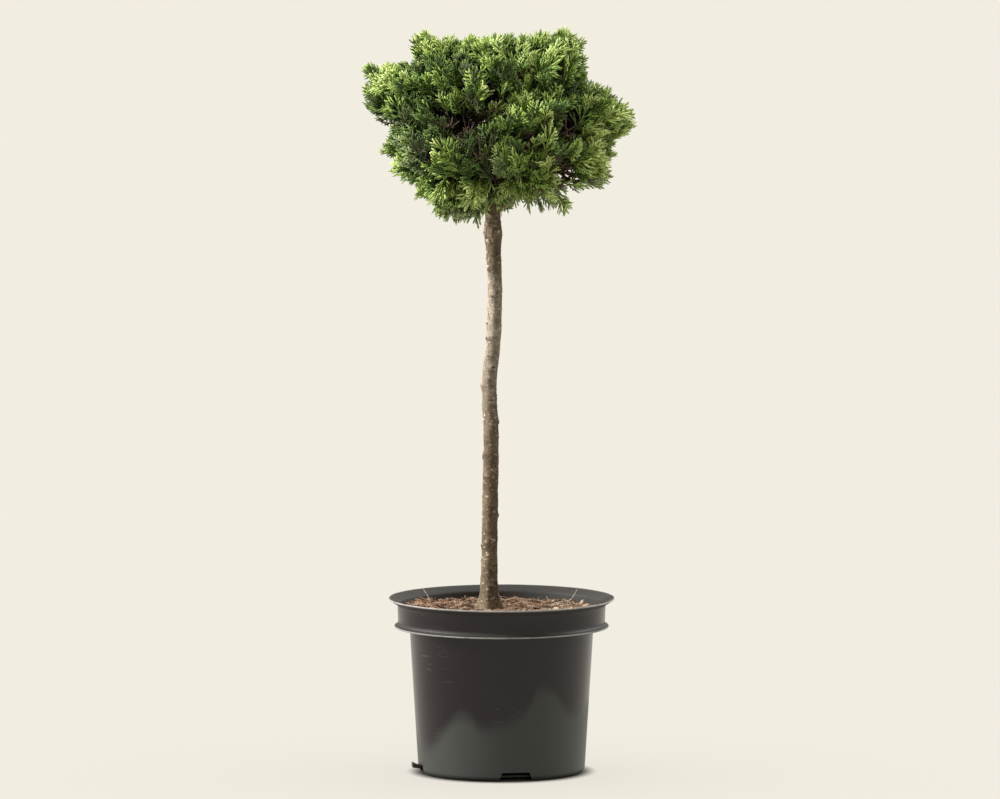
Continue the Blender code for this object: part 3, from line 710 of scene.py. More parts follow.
FLARE_HEIGHT = 0.010
FLARE_LOBES = 4
GRAFT_HEIGHT = 0.455
GRAFT_EXTRA = 0.0019
GRAFT_SPAN = 0.011
SCARS = (  # height, degrees from the front towards +X, size in millimetres
    (0.1600, 40, 2.2), (0.1905, -55, 1.9), (0.2160, 110, 1.8), (0.2480, -38, 2.3),
    (0.2660, 150, 1.8), (0.2659, -66, 2.4), (0.2955, 72, 1.6), (0.3255, -70, 2.0),
    (0.3420, 20, 1.5), (0.3657, -58, 2.4), (0.3777, -64, 1.9), (0.4006, -14, 2.0),
    (0.4060, 130, 1.8), (0.4235, -40, 2.5), (0.4330, -110, 1.7), (0.3150, -160, 2.0),
    (0.2300, -150, 2.1), (0.3900, -120, 1.8),
)
BLOTCHES = 260  # small dark spots
LENTICELS = 640  # small pale corky spots, which stand out
FOOT_BARK = ((0.040, 0.026, 0.015), (0.132, 0.098, 0.060))  # dark and pale
GRAFT_BARK = ((0.022, 0.013, 0.007), (0.180, 0.134, 0.086))
PALE_BAND_BARK = ((0.046, 0.032, 0.021), (0.390, 0.335, 0.262))
CORK = (0.50, 0.43, 0.33)
SCAR_BARK = (0.048, 0.033, 0.023)


def trunk_centre(height):
    """The trunk's axis at a height, on a smooth curve through its path."""
    heights = [station[0] for station in TRUNK_PATH]
    last = len(TRUNK_PATH) - 1
    at = max(0, min(last - 1, int(np.searchsorted(heights, height)) - 1))
    span = heights[at + 1] - heights[at]
    t = (height - heights[at]) / span

    def slope(k, axis):
        before, after = max(k - 1, 0), min(k + 1, last)
        rise = heights[after] - heights[before]
        return (TRUNK_PATH[after][axis] - TRUNK_PATH[before][axis]) / rise

    found = []
    for axis in (1, 2):
        a, b = TRUNK_PATH[at][axis], TRUNK_PATH[at + 1][axis]
        da, db = slope(at, axis) * span, slope(at + 1, axis) * span
        found.append(
            (2 * t**3 - 3 * t**2 + 1) * a + (t**3 - 2 * t**2 + t) * da
            + (3 * t**2 - 2 * t**3) * b + (t**3 - t**2) * db
        )
    return Vector((found[0], found[1], height))


def trunk_radius(height):
    """Mean radius of the trunk, less its root lobes."""
    if height < CROWN_FOOT:
        plain = TRUNK_FOOT_RADIUS - TRUNK_TAPER * (height - GROUND) / (CROWN_FOOT - GROUND)
    else:
        plain = TRUNK_CROWN_RADIUS - LEADER_TAPER * (height - CROWN_FOOT) / (TRUNK_TOP - CROWN_FOOT)
    flare = FLARE_EXTRA * math.exp(-(height - GROUND) / FLARE_HEIGHT)
    graft = GRAFT_EXTRA * math.exp(-(((height - GRAFT_HEIGHT) / GRAFT_SPAN) ** 2))
    return plain + flare + graft


def bark_relief(place, graft):
    """How far the bark stands out: fine crossways wrinkles, and rough plates on the graft."""
    def drawn(around, up):
        return noise.noise(Vector((place[0] * around, place[1] * around, place[2] * up)))

    wrinkles, waves, plates = drawn(190.0, 620.0), drawn(60.0, 90.0), abs(drawn(330.0, 210.0))
    return 0.00020 * wrinkles + 0.00042 * waves + graft * (0.00160 * plates - 0.0004)


def trunk_skin():
    """The bark's surface. Its points carry a mark: 1 on pale corky spots, -1 in dark scars."""
    chance = np.random.default_rng(5)
    heights = np.linspace(GROUND + CLEARANCE, TRUNK_TOP, TRUNK_RINGS)
    centres = np.array([trunk_centre(float(h)) for h in heights])
    radii = np.array([trunk_radius(float(h)) for h in heights])[:, None]
    angles = math.tau * np.arange(TRUNK_SIDES) / TRUNK_SIDES
    low = np.exp(-(heights - GROUND) / FLARE_HEIGHT)[:, None]
    graft = np.exp(-(((heights - GRAFT_HEIGHT - 0.004) / 0.017) ** 2))
    size = radii * (1.0 + 0.16 * low * np.cos(FLARE_LOBES * angles + 0.6))
    outward = np.stack([np.cos(angles), np.sin(angles), 0.0 * angles], axis=1)
    mark = np.zeros_like(size)

    def away_from(height, turn, half_width, half_height):
        """Distance of every point from a spot, in the spot's own half sizes."""
        turned_by = (angles - math.radians(turn - 90.0) + math.pi) % math.tau - math.pi
        sideways = turned_by[None, :] * radii / half_width
        upward = (heights[:, None] - height) / half_height
        ragged = 1.0 + 0.24 * np.sin(4.0 * angles[None, :] + 1300.0 * heights[:, None])
        return np.hypot(sideways, upward) * ragged

    def small_spot(top, width, tallness):
        away = away_from(chance.uniform(GROUND, top), chance.uniform(0.0, 360.0),
                         chance.uniform(*width), chance.uniform(*tallness))
        return np.exp(-(away**2))

    for height, turn, wide in SCARS:
        away = away_from(height, turn, wide / 1000.0, wide / 1000.0)
        size += 0.0016 * np.exp(-((away / 1.3) ** 2)) - 0.0008 * np.exp(-((away * 1.9) ** 2))
        mark += 0.45 * np.exp(-(((away - 1.1) / 0.40) ** 2)) - 0.85 * np.exp(-((away * 1.2) ** 2))
    for _ in range(BLOTCHES):
        blotch = small_spot(0.475, (0.0008, 0.0024), (0.0005, 0.0018))
        mark -= chance.uniform(0.25, 0.75) * blotch
    for _ in range(LENTICELS):
        hump = small_spot(0.47, (0.0006, 0.0014), (0.0004, 0.0008))
        size += chance.uniform(0.00012, 0.00042) * hump
        mark += chance.uniform(0.3, 1.0) * hump
    points = centres[:, None, :] + outward[None] * size[..., None]
    relief = [bark_relief(point, graft[k // TRUNK_SIDES])
              for k, point in enumerate(points.reshape(-1, 3).tolist())]
    points += outward[None] * np.array(relief).reshape(size.shape)[..., None]
    mesh = bpy.data.meshes.new("trunk_bark")
    mesh.from_pydata(points.reshape(-1, 3).tolist(), [], ring_faces(TRUNK_RINGS, TRUNK_SIDES))
    mesh.attributes.new("mark", "FLOAT", "POINT").data.foreach_set("value", mark.ravel())
    smoothed(mesh, 70.0)
    return mesh


def trunk_bark():
    """Bark that is darker and browner at the foot, paler higher up and rough on the graft."""
    made, tree, shader = new_finish("trunk_bark", (0.16, 0.12, 0.08), 0.85, Specular_IOR_Level=0.25)
    # darker and browner at the foot, paler higher up, set by height alone
    damp = mottled(tree, *FOOT_BARK, scale=120.0, stretch=0.7, flecks=0.6)
    rough = mottled(tree, *GRAFT_BARK, scale=190.0, stretch=0.8, flecks=0.55)
    dry = mottled(tree, *PALE_BAND_BARK, scale=210.0, stretch=0.8, flecks=0.55)
    height = node(tree, "ShaderNodeSeparateXYZ", {0: object_place(tree)}).outputs["Z"]
    on_graft = ranged(tree, height, 0.436, 0.450, smooth=True)
    paler_band = reckoned(tree, "MULTIPLY", ranged(tree, height, 0.260, 0.380, 0.95, smooth=True),
                     ranged(tree, height, 0.436, 0.395, smooth=True))
    mark = node(tree, "ShaderNodeAttribute", None, attribute_name="mark").outputs["Fac"]
    colour = blended(tree, on_graft, damp["Colour"], rough["Colour"])
    colour = blended(tree, paler_band, colour, dry["Colour"])
    colour = blended(tree, ranged(tree, mark, 0.15, 0.9, 0.75), colour, CORK)
    colour = blended(tree, ranged(tree, mark, -0.15, -0.8), colour, SCAR_BARK)
    tree.links.new(colour, shader.inputs["Base Color"])
    raised(tree, shader, damp["Height"], 0.0006, 0.9)
    return made


trunk = put_in("trunk_bark", trunk_skin(), trunk_bark())
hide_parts("trunk")
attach(trunk, "root")


# The boughs: short limbs that sweep up from the trunk, one to each mass of foliage. Their bark is
# thin, red-brown and scaly.
MASSES = {  # middle (sideways, towards the back, height), reach (the same three ways)
    "top_left": ((-0.052, -0.010, 0.586), (0.024, 0.040, 0.037)),
    "top_middle": ((-0.006, -0.022, 0.584), (0.042, 0.046, 0.038)),
    "top_right": ((0.043, -0.012, 0.584), (0.030, 0.044, 0.041)),
    "top_back": ((-0.004, 0.036, 0.579), (0.056, 0.044, 0.041)),
    "left": ((-0.080, -0.010, 0.569), (0.038, 0.044, 0.027)),
    "right": ((0.079, -0.010, 0.551), (0.033, 0.040, 0.029)),
    "front_left": ((-0.049, -0.042, 0.540), (0.040, 0.044, 0.036)),
    "front_middle": ((-0.006, -0.053, 0.535), (0.038, 0.042, 0.036)),
    "front_right": ((0.036, -0.045, 0.543), (0.036, 0.044, 0.038)),
    "back_left": ((-0.048, 0.042, 0.540), (0.046, 0.048, 0.043)),
    "back_right": ((0.046, 0.042, 0.541), (0.046, 0.048, 0.043)),
    "lower_left": ((-0.060, -0.012, 0.527), (0.040, 0.044, 0.034)),
    "lower_front_left": ((-0.032, -0.032, 0.502), (0.038, 0.042, 0.038)),
    "lower_front_right": ((0.030, -0.031, 0.507), (0.037, 0.042, 0.037)),
    "lower_right": ((0.058, -0.010, 0.518), (0.038, 0.044, 0.034)),
    "lower_back": ((0.002, 0.034, 0.504), (0.046, 0.044, 0.038)),
}
SPACE_POWER = 2.5  # how full a mass's space is: at 2 it would be an ellipsoid
BOUGH_SIDES = 14
BOUGH_STEPS = 22
BOUGH_FOOT_RADIUS = 0.0024
BOUGH_TIP_RADIUS = 0.0014
LEADER_RADIUS = 0.0028  # of the boughs that go on from the trunk's top
BOUGH_FALL = 0.52  # a bough leaves the trunk this share of its run below its mass
BOUGH_STAGGER = 0.007  # every other bough leaves this much lower
BOUGH_FOOT_SWEEP = 0.6  # of its mean rise, so it starts flatter than it ends
BOUGH_TIP_SWEEP = 1.4
BOUGH_LOWEST = 0.4710
BOUGH_HIGHEST = 0.5410
BOUGH_LEADER_ABOVE = 0.570  # a bough that would leave higher goes on from the trunk's top
BOUGH_BEND = 0.33  # how much of its length a bough gives to each end's direction
CORE_REACH = 0.66 * 1.06  # how much of a mass's reach its dense core may take
CORE_AIR = 0.0024  # between the core and the bough's tip
HEART_RADIUS = 0.017  # round the trunk, left open by every core


def reach_along(reach, direction):
    """Distance from the middle of a mass to the edge of its reach."""
    return sum(abs(d / r) ** SPACE_POWER for d, r in zip(direction, reach)) ** (-1.0 / SPACE_POWER)


def bough_line(number, middle, reach):
    """Centres and radii of the limb that carries a mass, on the same curve as its solid."""
    middle = Vector(middle)
    top = trunk_centre(TRUNK_TOP)
    outward = Vector((middle.x - top.x, middle.y - top.y, 0.0))
    run = outward.length
    outward.normalize()
    height = middle.z - BOUGH_FALL * run
    leader = height > BOUGH_LEADER_ABOVE
    height -= BOUGH_STAGGER * (number % 2)
    height = TRUNK_TOP if leader else max(BOUGH_LOWEST, min(BOUGH_HIGHEST, height))
    rise = Vector((0.0, 0.0, (middle.z - height) / run))
    end = (outward + BOUGH_TIP_SWEEP * rise).normalized()
    if leader:
        start, thick = Vector((0.0, 0.0, 1.0)), LEADER_RADIUS
        foot = top + Vector((0.0, 0.0, CLEARANCE))
    else:
        start, thick = (outward + BOUGH_FOOT_SWEEP * rise).normalized(), BOUGH_FOOT_RADIUS
        foot = trunk_centre(height) + outward * (trunk_radius(height) + CLEARANCE + thick * start.z)
    core = CORE_REACH * reach_along(reach, end)
    if not leader:
        core = min(core, (run - HEART_RADIUS) / end.xy.length)
    tip = middle - end * (core + CORE_AIR)
    bend = BOUGH_BEND * (tip - foot).length
    a, b, c, d = foot, foot + start * bend, tip - end * bend, tip
    centres, radii = [], []
    for k in range(BOUGH_STEPS):
        t = k / (BOUGH_STEPS - 1)
        s = 1.0 - t
        centres.append(s**3 * a + 3 * s * s * t * b + 3 * s * t * t * c + t**3 * d)
        radii.append(thick + t * (BOUGH_TIP_RADIUS - thick))
    return centres, radii


bough_lines = {name: bough_line(number, *MASSES[name]) for number, name in enumerate(MASSES)}
bough_runs = []
for centres, radii in bough_lines.values():
    swollen = [radius * (1.0 + 0.35 * math.exp(-k / 1.2)) for k, radius in enumerate(radii)]
    scaly = [r * (1.0 + 0.10 * noise.noise(c * 300.0)) for c, r in zip(centres, swollen)]
    bough_runs.append((centres, scaly))
bough_bark = mottled_finish("bough_bark", (0.055, 0.030, 0.018), (0.24, 0.15, 0.095), 190.0)
boughs = put_in("bough_bark", joined_tubes("bough_bark", bough_runs, BOUGH_SIDES), bough_bark)
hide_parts(*("bough_" + name for name in MASSES))
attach(boughs, "root")


# The twigs: each mass has a stem that goes on from its bough, main twigs that spread from it on
# all sides, and side twigs along those. They are thin, brown and rough with old scales.
SEED = 41
CROWN_HEART = Vector((-0.005, 0.0, 0.530))
MAIN_TWIGS = 13  # directions tried for each mass
TIPS = 255  # places tried for the end of a spray in each mass
INWARD_LIMIT = 0.25  # growth that points more than this towards the crown's heart is thinned out
INWARD_KEPT = 0.25  # to this share
SPACE_OVERLAP = 0.014  # sprays of two neighbours reach this far into each other
LONGEST = 0.0315
SHORTEST = 0.012
FREE = 1.2  # the share of a tuft's sprays, which may pass the edge of the mass's space
STEM_RADII = (0.0014, 0.0013, 0.0011)
MAIN_TWIG_RADII = (0.0012, 0.0011, 0.0010, 0.0009, 0.0007, 0.0005)
SIDE_TWIG_RADII = (0.0007, 0.0006, 0.0004)
TUFT_TWIG_RADII = (0.0008, 0.0007, 0.0004)
SKY_WINDOWS = (  # where sky shows: sideways, height, half width, half height, share kept
    (0.0600, 0.4990, 0.0160, 0.0240, 0.14), (0.0300, 0.4765, 0.0230, 0.0080, 0.20),
    (0.1000, 0.5530, 0.0090, 0.0120, 0.50), (-0.0950, 0.5220, 0.0130, 0.0080, 0.40),
    (0.1065, 0.5755, 0.0150, 0.0135, 0.00), (0.1090, 0.5345, 0.0145, 0.0085, 0.00),
    (-0.1000, 0.5400, 0.0070, 0.0060, 0.20), (-0.0515, 0.6175, 0.0060, 0.0080, 0.00),
    (0.0830, 0.4870, 0.0100, 0.0090, 0.15),
)
TUFTS = {  # sprays that stand out past a mass: middle of their tips, how many, how far they spread
    "top_left": (
        ((-0.0700, -0.012, 0.6215), 9, 0.0035), ((-0.0660, -0.006, 0.6120), 6, 0.0050),
        ((-0.0405, -0.010, 0.6175), 6, 0.0040), ((-0.0330, -0.012, 0.6170), 7, 0.0040),
    ),
    "top_middle": (
        ((-0.0260, -0.015, 0.6175), 7, 0.0060), ((0.0000, -0.014, 0.6180), 8, 0.0070),
        ((0.0230, -0.010, 0.6170), 7, 0.0060),
    ),
    "top_right": (
        ((0.0525, -0.012, 0.6245), 8, 0.0035), ((0.0640, -0.010, 0.6155), 9, 0.0040),
        ((0.0125, -0.012, 0.6140), 5, 0.0040), ((0.0380, -0.012, 0.6170), 5, 0.0050),
    ),
    "left": (
        ((-0.1125, -0.012, 0.5915), 10, 0.0040), ((-0.0985, -0.010, 0.5945), 9, 0.0050),
        ((-0.0840, -0.012, 0.5950), 8, 0.0045),
    ),
    "right": (((0.1070, -0.014, 0.5540), 5, 0.0030), ((0.1085, -0.010, 0.5460), 7, 0.0035)),
    "lower_left": (((-0.1010, -0.012, 0.5270), 7, 0.0035), ((-0.0700, -0.016, 0.4850), 5, 0.0040)),
    "lower_right": (((0.0930, -0.010, 0.5240), 5, 0.0040), ((0.0560, -0.014, 0.4730), 5, 0.0030)),
    "lower_front_left": (
        ((-0.0520, -0.024, 0.4680), 6, 0.0035), ((-0.0370, -0.026, 0.4650), 4, 0.0035),
    ),
    "lower_front_right": (((0.0360, -0.026, 0.4740), 4, 0.0030),),
}


def neighbour_planes(name):
    """Planes half-way to every other mass: normals that point away, and their offsets."""
    middle = np.array(MASSES[name][0])
    normals, offsets = [], []
    for other, (centre, _) in MASSES.items():
        if other == name:
            continue
        away = np.array(centre) - middle
        normal = away / np.linalg.norm(away)
        normals.append(normal)
        offsets.append(float(normal @ (middle + np.array(centre)) / 2 + SPACE_OVERLAP))
    return np.array(normals), np.array(offsets)


def far_along(name, planes, direction):
    """Distance from a mass's middle to the edge of its space."""
    middle, reach = MASSES[name]
    facing = np.maximum(planes[0] @ np.array(direction), 1e-6)
    room = float(((planes[1] - planes[0] @ np.array(middle)) / facing).min())
    return min(reach_along(reach, direction), room)


def in_space(points, name, planes):
    middle, reach = np.array(MASSES[name][0]), np.array(MASSES[name][1])
    places = np.array(points)
    if ((np.abs((places - middle) / reach) ** SPACE_POWER).sum(axis=1) > 1.0).any():
        return False
    return not (places @ planes[0].T > planes[1]).any()


def ball_directions(count):
    """Directions spread evenly over a ball by the golden angle."""
    golden = math.pi * (3.0 - math.sqrt(5.0))
    for k in range(count):
        height = 1.0 - 2.0 * (k + 0.5) / count
        ring = math.sqrt(1.0 - height * height)
        yield Vector((ring * math.cos(golden * k), ring * math.sin(golden * k), height))


def growing_way(place):
    """Which way growth points: upright at the top, outwards at the sides, hanging at the foot."""
    out = Vector((place.x - CROWN_HEART.x, 0.6 * (place.y - CROWN_HEART.y), 0.0))
    side = min(1.0, out.length / 0.105)
    lift = max(-0.6, min(1.0, (place.z - 0.507) / 0.040)) * (1.0 - 0.45 * side**2)
    return (out.normalized() * (0.10 + 0.85 * side**2) + Vector((0.0, 0.0, lift))).normalized()


def across(direction, roll):
    """A direction at right angles to another, turned round it by an angle."""
    first = direction.orthogonal().normalized()
    return math.cos(roll) * first + math.sin(roll) * direction.cross(first)


def nearest_on(lines, place):
    """The nearest point of any of the lines to a place."""
    best, least = None, 1.0
    for line in lines:
        for a, b in zip(line, line[1:]):
            along = b - a
            share = max(0.0, min(1.0, (place - a).dot(along) / along.length_squared))
            point = a + share * along
            if (place - point).length < least:
                best, least = point, (place - point).length
    return best


def grown(number, name):
    """Twigs of one mass as (centres, radii), and its sprays as (root, aim, size, share)."""
    chance = np.random.default_rng(SEED + number)
    planes = neighbour_planes(name)
    middle = Vector(MASSES[name][0])
    inward = (CROWN_HEART - middle).normalized()
    tip = bough_lines[name][0][-1]
    twigs, sprays = [([tip, tip.lerp(middle, 0.5), middle], STEM_RADII)], []
    lines = [twigs[0][0]]

    def some(low, high):
        return float(chance.uniform(low, high))

    def swayed(direction, most):
        return (direction + Vector(chance.uniform(-most, most, 3).tolist())).normalized()

    for direction in ball_directions(MAIN_TWIGS):
        direction = swayed(direction, 0.25)
        if direction.dot(inward) > INWARD_LIMIT:
            continue
        foot = tip.lerp(middle, some(0.4, 1.0))
        end = middle + direction * (0.72 * far_along(name, planes, direction))
        sagging = foot.lerp(end, 0.5) - Vector((0.0, 0.0, 0.004))
        lines.append(bent_line(foot, sagging, end, len(MAIN_TWIG_RADII)))
        twigs.append((lines[-1], MAIN_TWIG_RADII))
    for k, direction in enumerate(ball_directions(TIPS)):
        direction = swayed(direction, 0.12)
        deep = k % 5 in (1, 3)
        share = some(0.45, 0.85) if deep else some(0.90, 1.02) + 0.07 * max(0.0, direction.z)
        if direction.dot(inward) > INWARD_LIMIT and some(0.0, 1.0) > INWARD_KEPT:
            continue
        far = far_along(name, planes, direction)
        place = middle + direction * far * share
        ragged = 0.14 * noise.noise(place * 46.0) + 0.09 * noise.noise(place * 110.0)
        place = middle + direction * far * min(1.0, share - 0.08 + ragged)
        aim = growing_way(place) + across(direction, some(0.0, math.tau)) * some(0.05, 0.75)
        aim.normalize()
        size = LONGEST * some(0.58, 1.0)
        while size > SHORTEST and not in_space((place - aim * size * 0.9,), name, planes):
            size *= 0.9
        root = place - aim * size
        sprays.append((root, aim, size, share))
        near = nearest_on(lines, root)
        if (near - root).length > 0.002:
            bent = near.lerp(root, 0.5) - 0.05 * (root - near).length * aim
            twigs.append(([near, bent, root + 0.2 * size * aim], SIDE_TWIG_RADII))
        if not deep:
            other = (aim + across(aim, some(0.0, math.tau)) * some(0.25, 0.50)).normalized()
            sprays.append((root, other, size * some(0.75, 0.95), share))
    last_way = direction  # tufts spread round the way of the last place that was tried
    for place, count, spread in TUFTS.get(name, ()):
        for _ in range(count):
            end = Vector(place) + spread * Vector(chance.uniform(-1.0, 1.0, 3).tolist())
            aim = growing_way(end) + across(last_way, some(0.0, math.tau)) * some(0.0, 0.30)
            aim = aim.normalized()
            size = LONGEST * some(0.50, 0.80)
            root = end - aim * size
            near = nearest_on(lines, root)
            sprays.append((root, aim, size, FREE))
            twigs.append(([near, near.lerp(root, 0.5), root + 0.2 * size * aim], TUFT_TWIG_RADII))
    return twigs, sprays, planes, chance


growth = {name: grown(number, name) for number, name in enumerate(MASSES)}
twig_runs = [run for grown_twigs, *_ in growth.values() for run in grown_twigs]
twig_bark = mottled_finish("twig_bark", (0.034, 0.022, 0.015), (0.15, 0.095, 0.062), 330.0)
twigs = put_in("twigs", joined_tubes("twigs", twig_runs, 4), twig_bark)
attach(twigs, "root")


# The sprays: flat fans of blunt green shoots, closely pressed with scale leaves and branched twice
# over. New growth is yellow-green at the tips. Sprays deep in the crown, round the hollows and at
# both ends of the top take darker greens as painted shade, and those on the outside, on the right
# and at the foot take paler ones as painted light.
SPRAY_SHAPES = 8
SPRAY_WIDTHS = (1.0, 0.8, 1.2, 0.65)  # how widely the shoots of the shapes stand apart, in turn
SHOOT_WIDTH = 0.060  # of a spray's length
SHOOT_THICKNESS = 0.046
SIDE_SHOOTS = 5
SUB_SHOOTS = (  # where on a side shoot, degrees from it, length
    (0.34, 25.0, 0.34), (0.52, -23.0, 0.29), (0.70, 22.0, 0.22),
)
HOLLOWS = (  # where one sees deep: sideways, height, half width, half height, how far in front
    (-0.0090, 0.5690, 0.0080, 0.0120, 0.004), (-0.0340, 0.5530, 0.0190, 0.0100, -0.008),
    (0.0580, 0.5500, 0.0120, 0.0170, 0.010), (0.0536, 0.5100, 0.0140, 0.0180, 0.010),
    (-0.0060, 0.5055, 0.0180, 0.0075, 0.000), (-0.0615, 0.5240, 0.0095, 0.0090, 0.000),
    (0.0220, 0.5400, 0.0090, 0.0075, -0.008), (-0.0560, 0.5660, 0.0070, 0.0090, -0.004),
)
FRESH_DRIFTS = (  # where new growth is palest, seen from the front: sideways, height, how wide
    (-0.0100, 0.5440, 0.0080), (-0.0455, 0.5780, 0.0080), (0.0080, 0.5770, 0.0100),
    (0.0430, 0.5580, 0.0060), (-0.1020, 0.5880, 0.0140), (0.0830, 0.5730, 0.0110),
    (-0.0340, 0.4800, 0.0120), (0.0240, 0.6000, 0.0080), (-0.0680, 0.6180, 0.0080),
    (0.0900, 0.5440, 0.0080),
)
CROWN_MIDDLE = Vector((-0.004, -0.004, 0.545))
CROWN_REACH = (0.118, 0.098, 0.083)
UPPER_CROWN = 0.560  # the height above which the sprays count as the crown's top
LEAF_ROUGHNESS = 0.55
# from dark to pale, these greens are dealt out as painted light and shade as well as for new growth
LEAF_GREENS = (  # the tips of a spray take the green after its own
    ("leaf_shaded", (0.044, 0.053, 0.018)), ("leaf_deep", (0.050, 0.081, 0.018)),
    ("leaf_green", (0.103, 0.186, 0.033)), ("leaf_fresh_and_lit", (0.252, 0.354, 0.063)),
    ("leaf_tip", (0.450, 0.560, 0.185)), ("leaf_cool", (0.058, 0.092, 0.035)),
    ("leaf_cool_green", (0.148, 0.195, 0.070)), ("leaf_cool_tip", (0.290, 0.370, 0.145)),
)
SHADED, DEEP, GREEN, FRESH_AND_LIT, COOL, COOL_GREEN = 0, 1, 2, 3, 5, 6  # their places among the greens


def shoot_parts(foot, tip, width):
    """One blunt shoot: a closed blade, keeled above, with its old faces and its new ones."""
    along = tip - foot
    side = Vector((along.y, -along.x, 0.0)).normalized() * width / 2
    keel = Vector((0.0, 0.0, SHOOT_THICKNESS / SHOOT_WIDTH * width))
    waist, wide = foot.lerp(tip, 0.45), foot.lerp(tip, 0.86)
    points = [foot - side * 0.75, foot + side * 0.75, waist - side, waist + side, waist + keel,
              wide - side * 0.95, wide + side * 0.95, tip]
    old = [(0, 1, 3), (0, 3, 2), (0, 2, 4), (0, 4, 1), (1, 4, 3)]
    new = [(2, 3, 6), (2, 6, 5), (5, 6, 7), (2, 5, 4), (4, 5, 7), (4, 7, 6), (3, 4, 6)]
    return points, old, new


def spray_mesh(chance, wide):
    """A fan one unit long: an axis, long shoots to both sides, and shorter ones along those."""
    points, faces, tones = [], [], []

    def some(low, high):
        return float(chance.uniform(low, high))

    def add(foot, tip, width, tone):
        more, old, new = shoot_parts(foot, tip, width * SHOOT_WIDTH)
        faces.extend(tuple(len(points) + k for k in face) for face in old + new)
        points.extend(more)
        tones.extend([0.0] * len(old) + [tone] * len(new))

    add(Vector((0, 0, 0)), Vector((0.0, 0.72, 0.0)), 0.75, 0.0)
    add(Vector((0, 0.54, 0)), Vector((some(-0.05, 0.05), 1.0, 0.0)), 1.0, 1.0)
    for k in range(SIDE_SHOOTS):
        side = 1.0 if k % 2 else -1.0
        foot = Vector((0.0, 0.08 + 0.11 * k, 0.0))
        angle = math.radians(wide * (35.0 - 3.4 * k) + some(-8.0, 8.0)) * side
        along = Vector((math.sin(angle), math.cos(angle), some(-0.14, 0.14)))
        tip = foot + along * (0.58 - 0.035 * k + some(-0.06, 0.06))
        add(foot, tip, 0.95, 0.0 if k < 2 else 1.0)
        for share, turn, length in SUB_SHOOTS[:1 + 2 * k]:
            way = Matrix.Rotation(math.radians(-turn * side + some(-8.0, 8.0)), 3, "Z") @ along
            root = foot.lerp(tip, share + some(-0.05, 0.05))
            end = root + way * (length + some(-0.05, 0.07))
            add(root, end, 0.92, float(k > 0 and some(0.0, 1.0) > 0.25))
    cup, bend = some(0.05, 0.40), some(-0.18, 0.18)
    for point in points:
        point.z += bend * point.y**2 - cup * point.x**2
    mesh = bpy.data.meshes.new("spray")
    mesh.from_pydata(points, [], faces)
    mesh.attributes.new("tone", "FLOAT", "FACE").data.foreach_set("value", tones)
    mesh.shade_smooth()
    return mesh


def leaf_finish(name, colour):
    """Waxy scale leaves: one plain green, with the relief of the scales."""
    made, tree, shader = new_finish(name, colour, LEAF_ROUGHNESS, Specular_IOR_Level=0.32)
    scales = node(tree, "ShaderNodeTexVoronoi", {"Vector": object_place(tree), "Scale": 900.0})
    raised(tree, shader, scales.outputs[0], 0.0003, 0.6)
    return made


def hollow_share(tip):
    """How near a place is to the nearest hollow, 1 at its edge, and whether it is in front."""
    near = [(math.hypot((tip.x - x) / wide, (tip.z - z) / high), tip.y < front)
            for x, z, wide, high, front in HOLLOWS]
    return min(near)


def spray_tint(tip, share, chance):
    """Which green a spray takes, by a mark that grows with its paleness, and by its side. Most of
    the mark is painted light and shade by place; the rest is drifts and chance.
    """
    offset = tip - CROWN_MIDDLE
    out = math.sqrt(sum((part / reach) ** 2 for part, reach in zip(offset, CROWN_REACH)))
    # painted light and shade: paler on the outside and on the right, darker deeper in
    mark = 2.2 * (out - 0.80) + 1.2 * (min(share, 1.0) - 0.75) + 4.6 * tip.x - 0.22
    # painted light at the foot, which is paler, and painted shade at both ends of the top, which
    # are darker
    mark += 11.0 * max(0.0, 0.540 - tip.z)
    mark += 5.0 * min(0.0, tip.x + 0.035) if tip.z > UPPER_CROWN else 0.0
    mark += (3.0 if tip.z < UPPER_CROWN else -16.0) * max(0.0, tip.x - 0.020)
    # in drifts, and by chance
    drift = 0.9 * noise.noise(tip * 34.0) + 0.6 * noise.noise(tip * 90.0)
    mark += drift + 0.48 * float(chance.normal())
    for x, z, wide in FRESH_DRIFTS:
        away = math.hypot(tip.x - x, tip.z - z) / wide
        mark += 1.5 * math.exp(-(away**2)) if tip.y < 0.010 else 0.0
    # painted shade: darker greens round the hollows
    mark -= max(0.0, 1.6 - 1.2 * hollow_share(tip)[0])
    bluish = noise.noise(tip * 21.0 + Vector((4.0, 1.0, 2.0))) > 0.02
    if offset.z < -0.005 and out > 0.80 and bluish:
        return COOL if mark < 0.1 else COOL_GREEN
    return SHADED if mark < -0.70 else (DEEP if mark < -0.05 else (GREEN if mark < 0.75 else FRESH_AND_LIT))


def left_open(tip, root, chance):
    """Whether a spray isn't grown: it is in front of a hollow, or where the sky shows."""
    for place in (tip, root.lerp(tip, 0.6)):
        away, in_front = hollow_share(place)
        if in_front and away < 0.95:
            return True
    for x, z, wide, high, kept in SKY_WINDOWS:
        if ((tip.x - x) / wide) ** 2 + ((tip.z - z) / high) ** 2 < 1.0:
            return float(chance.uniform()) > kept
    return False


def spray_spots(name):
    """Where the sprays of one mass sit, and how each is turned."""
    _, sprays, planes, chance = growth[name]
    spots = []
    for root, aim, size, share in sprays:
        face = across(aim, float(chance.uniform(0.0, math.tau)))
        side = aim.cross(face)
        shape = int(chance.integers(SPRAY_SHAPES))
        shrunk = size
        while shrunk > max(SHORTEST, 0.62 * size):
            half, wing = root + aim * (0.5 * shrunk), side * (0.42 * shrunk)
            ends = (root + aim * shrunk, half + wing, half - wing)
            if share == FREE or in_space(ends, name, planes):
                if not left_open(ends[0], root, chance):
                    turn = tuple(Matrix((side, aim, face)).transposed().to_euler())
                    spots.append((root, turn, shrunk, shape, spray_tint(ends[0], share, chance)))
                break
            shrunk *= 0.92
    return spots


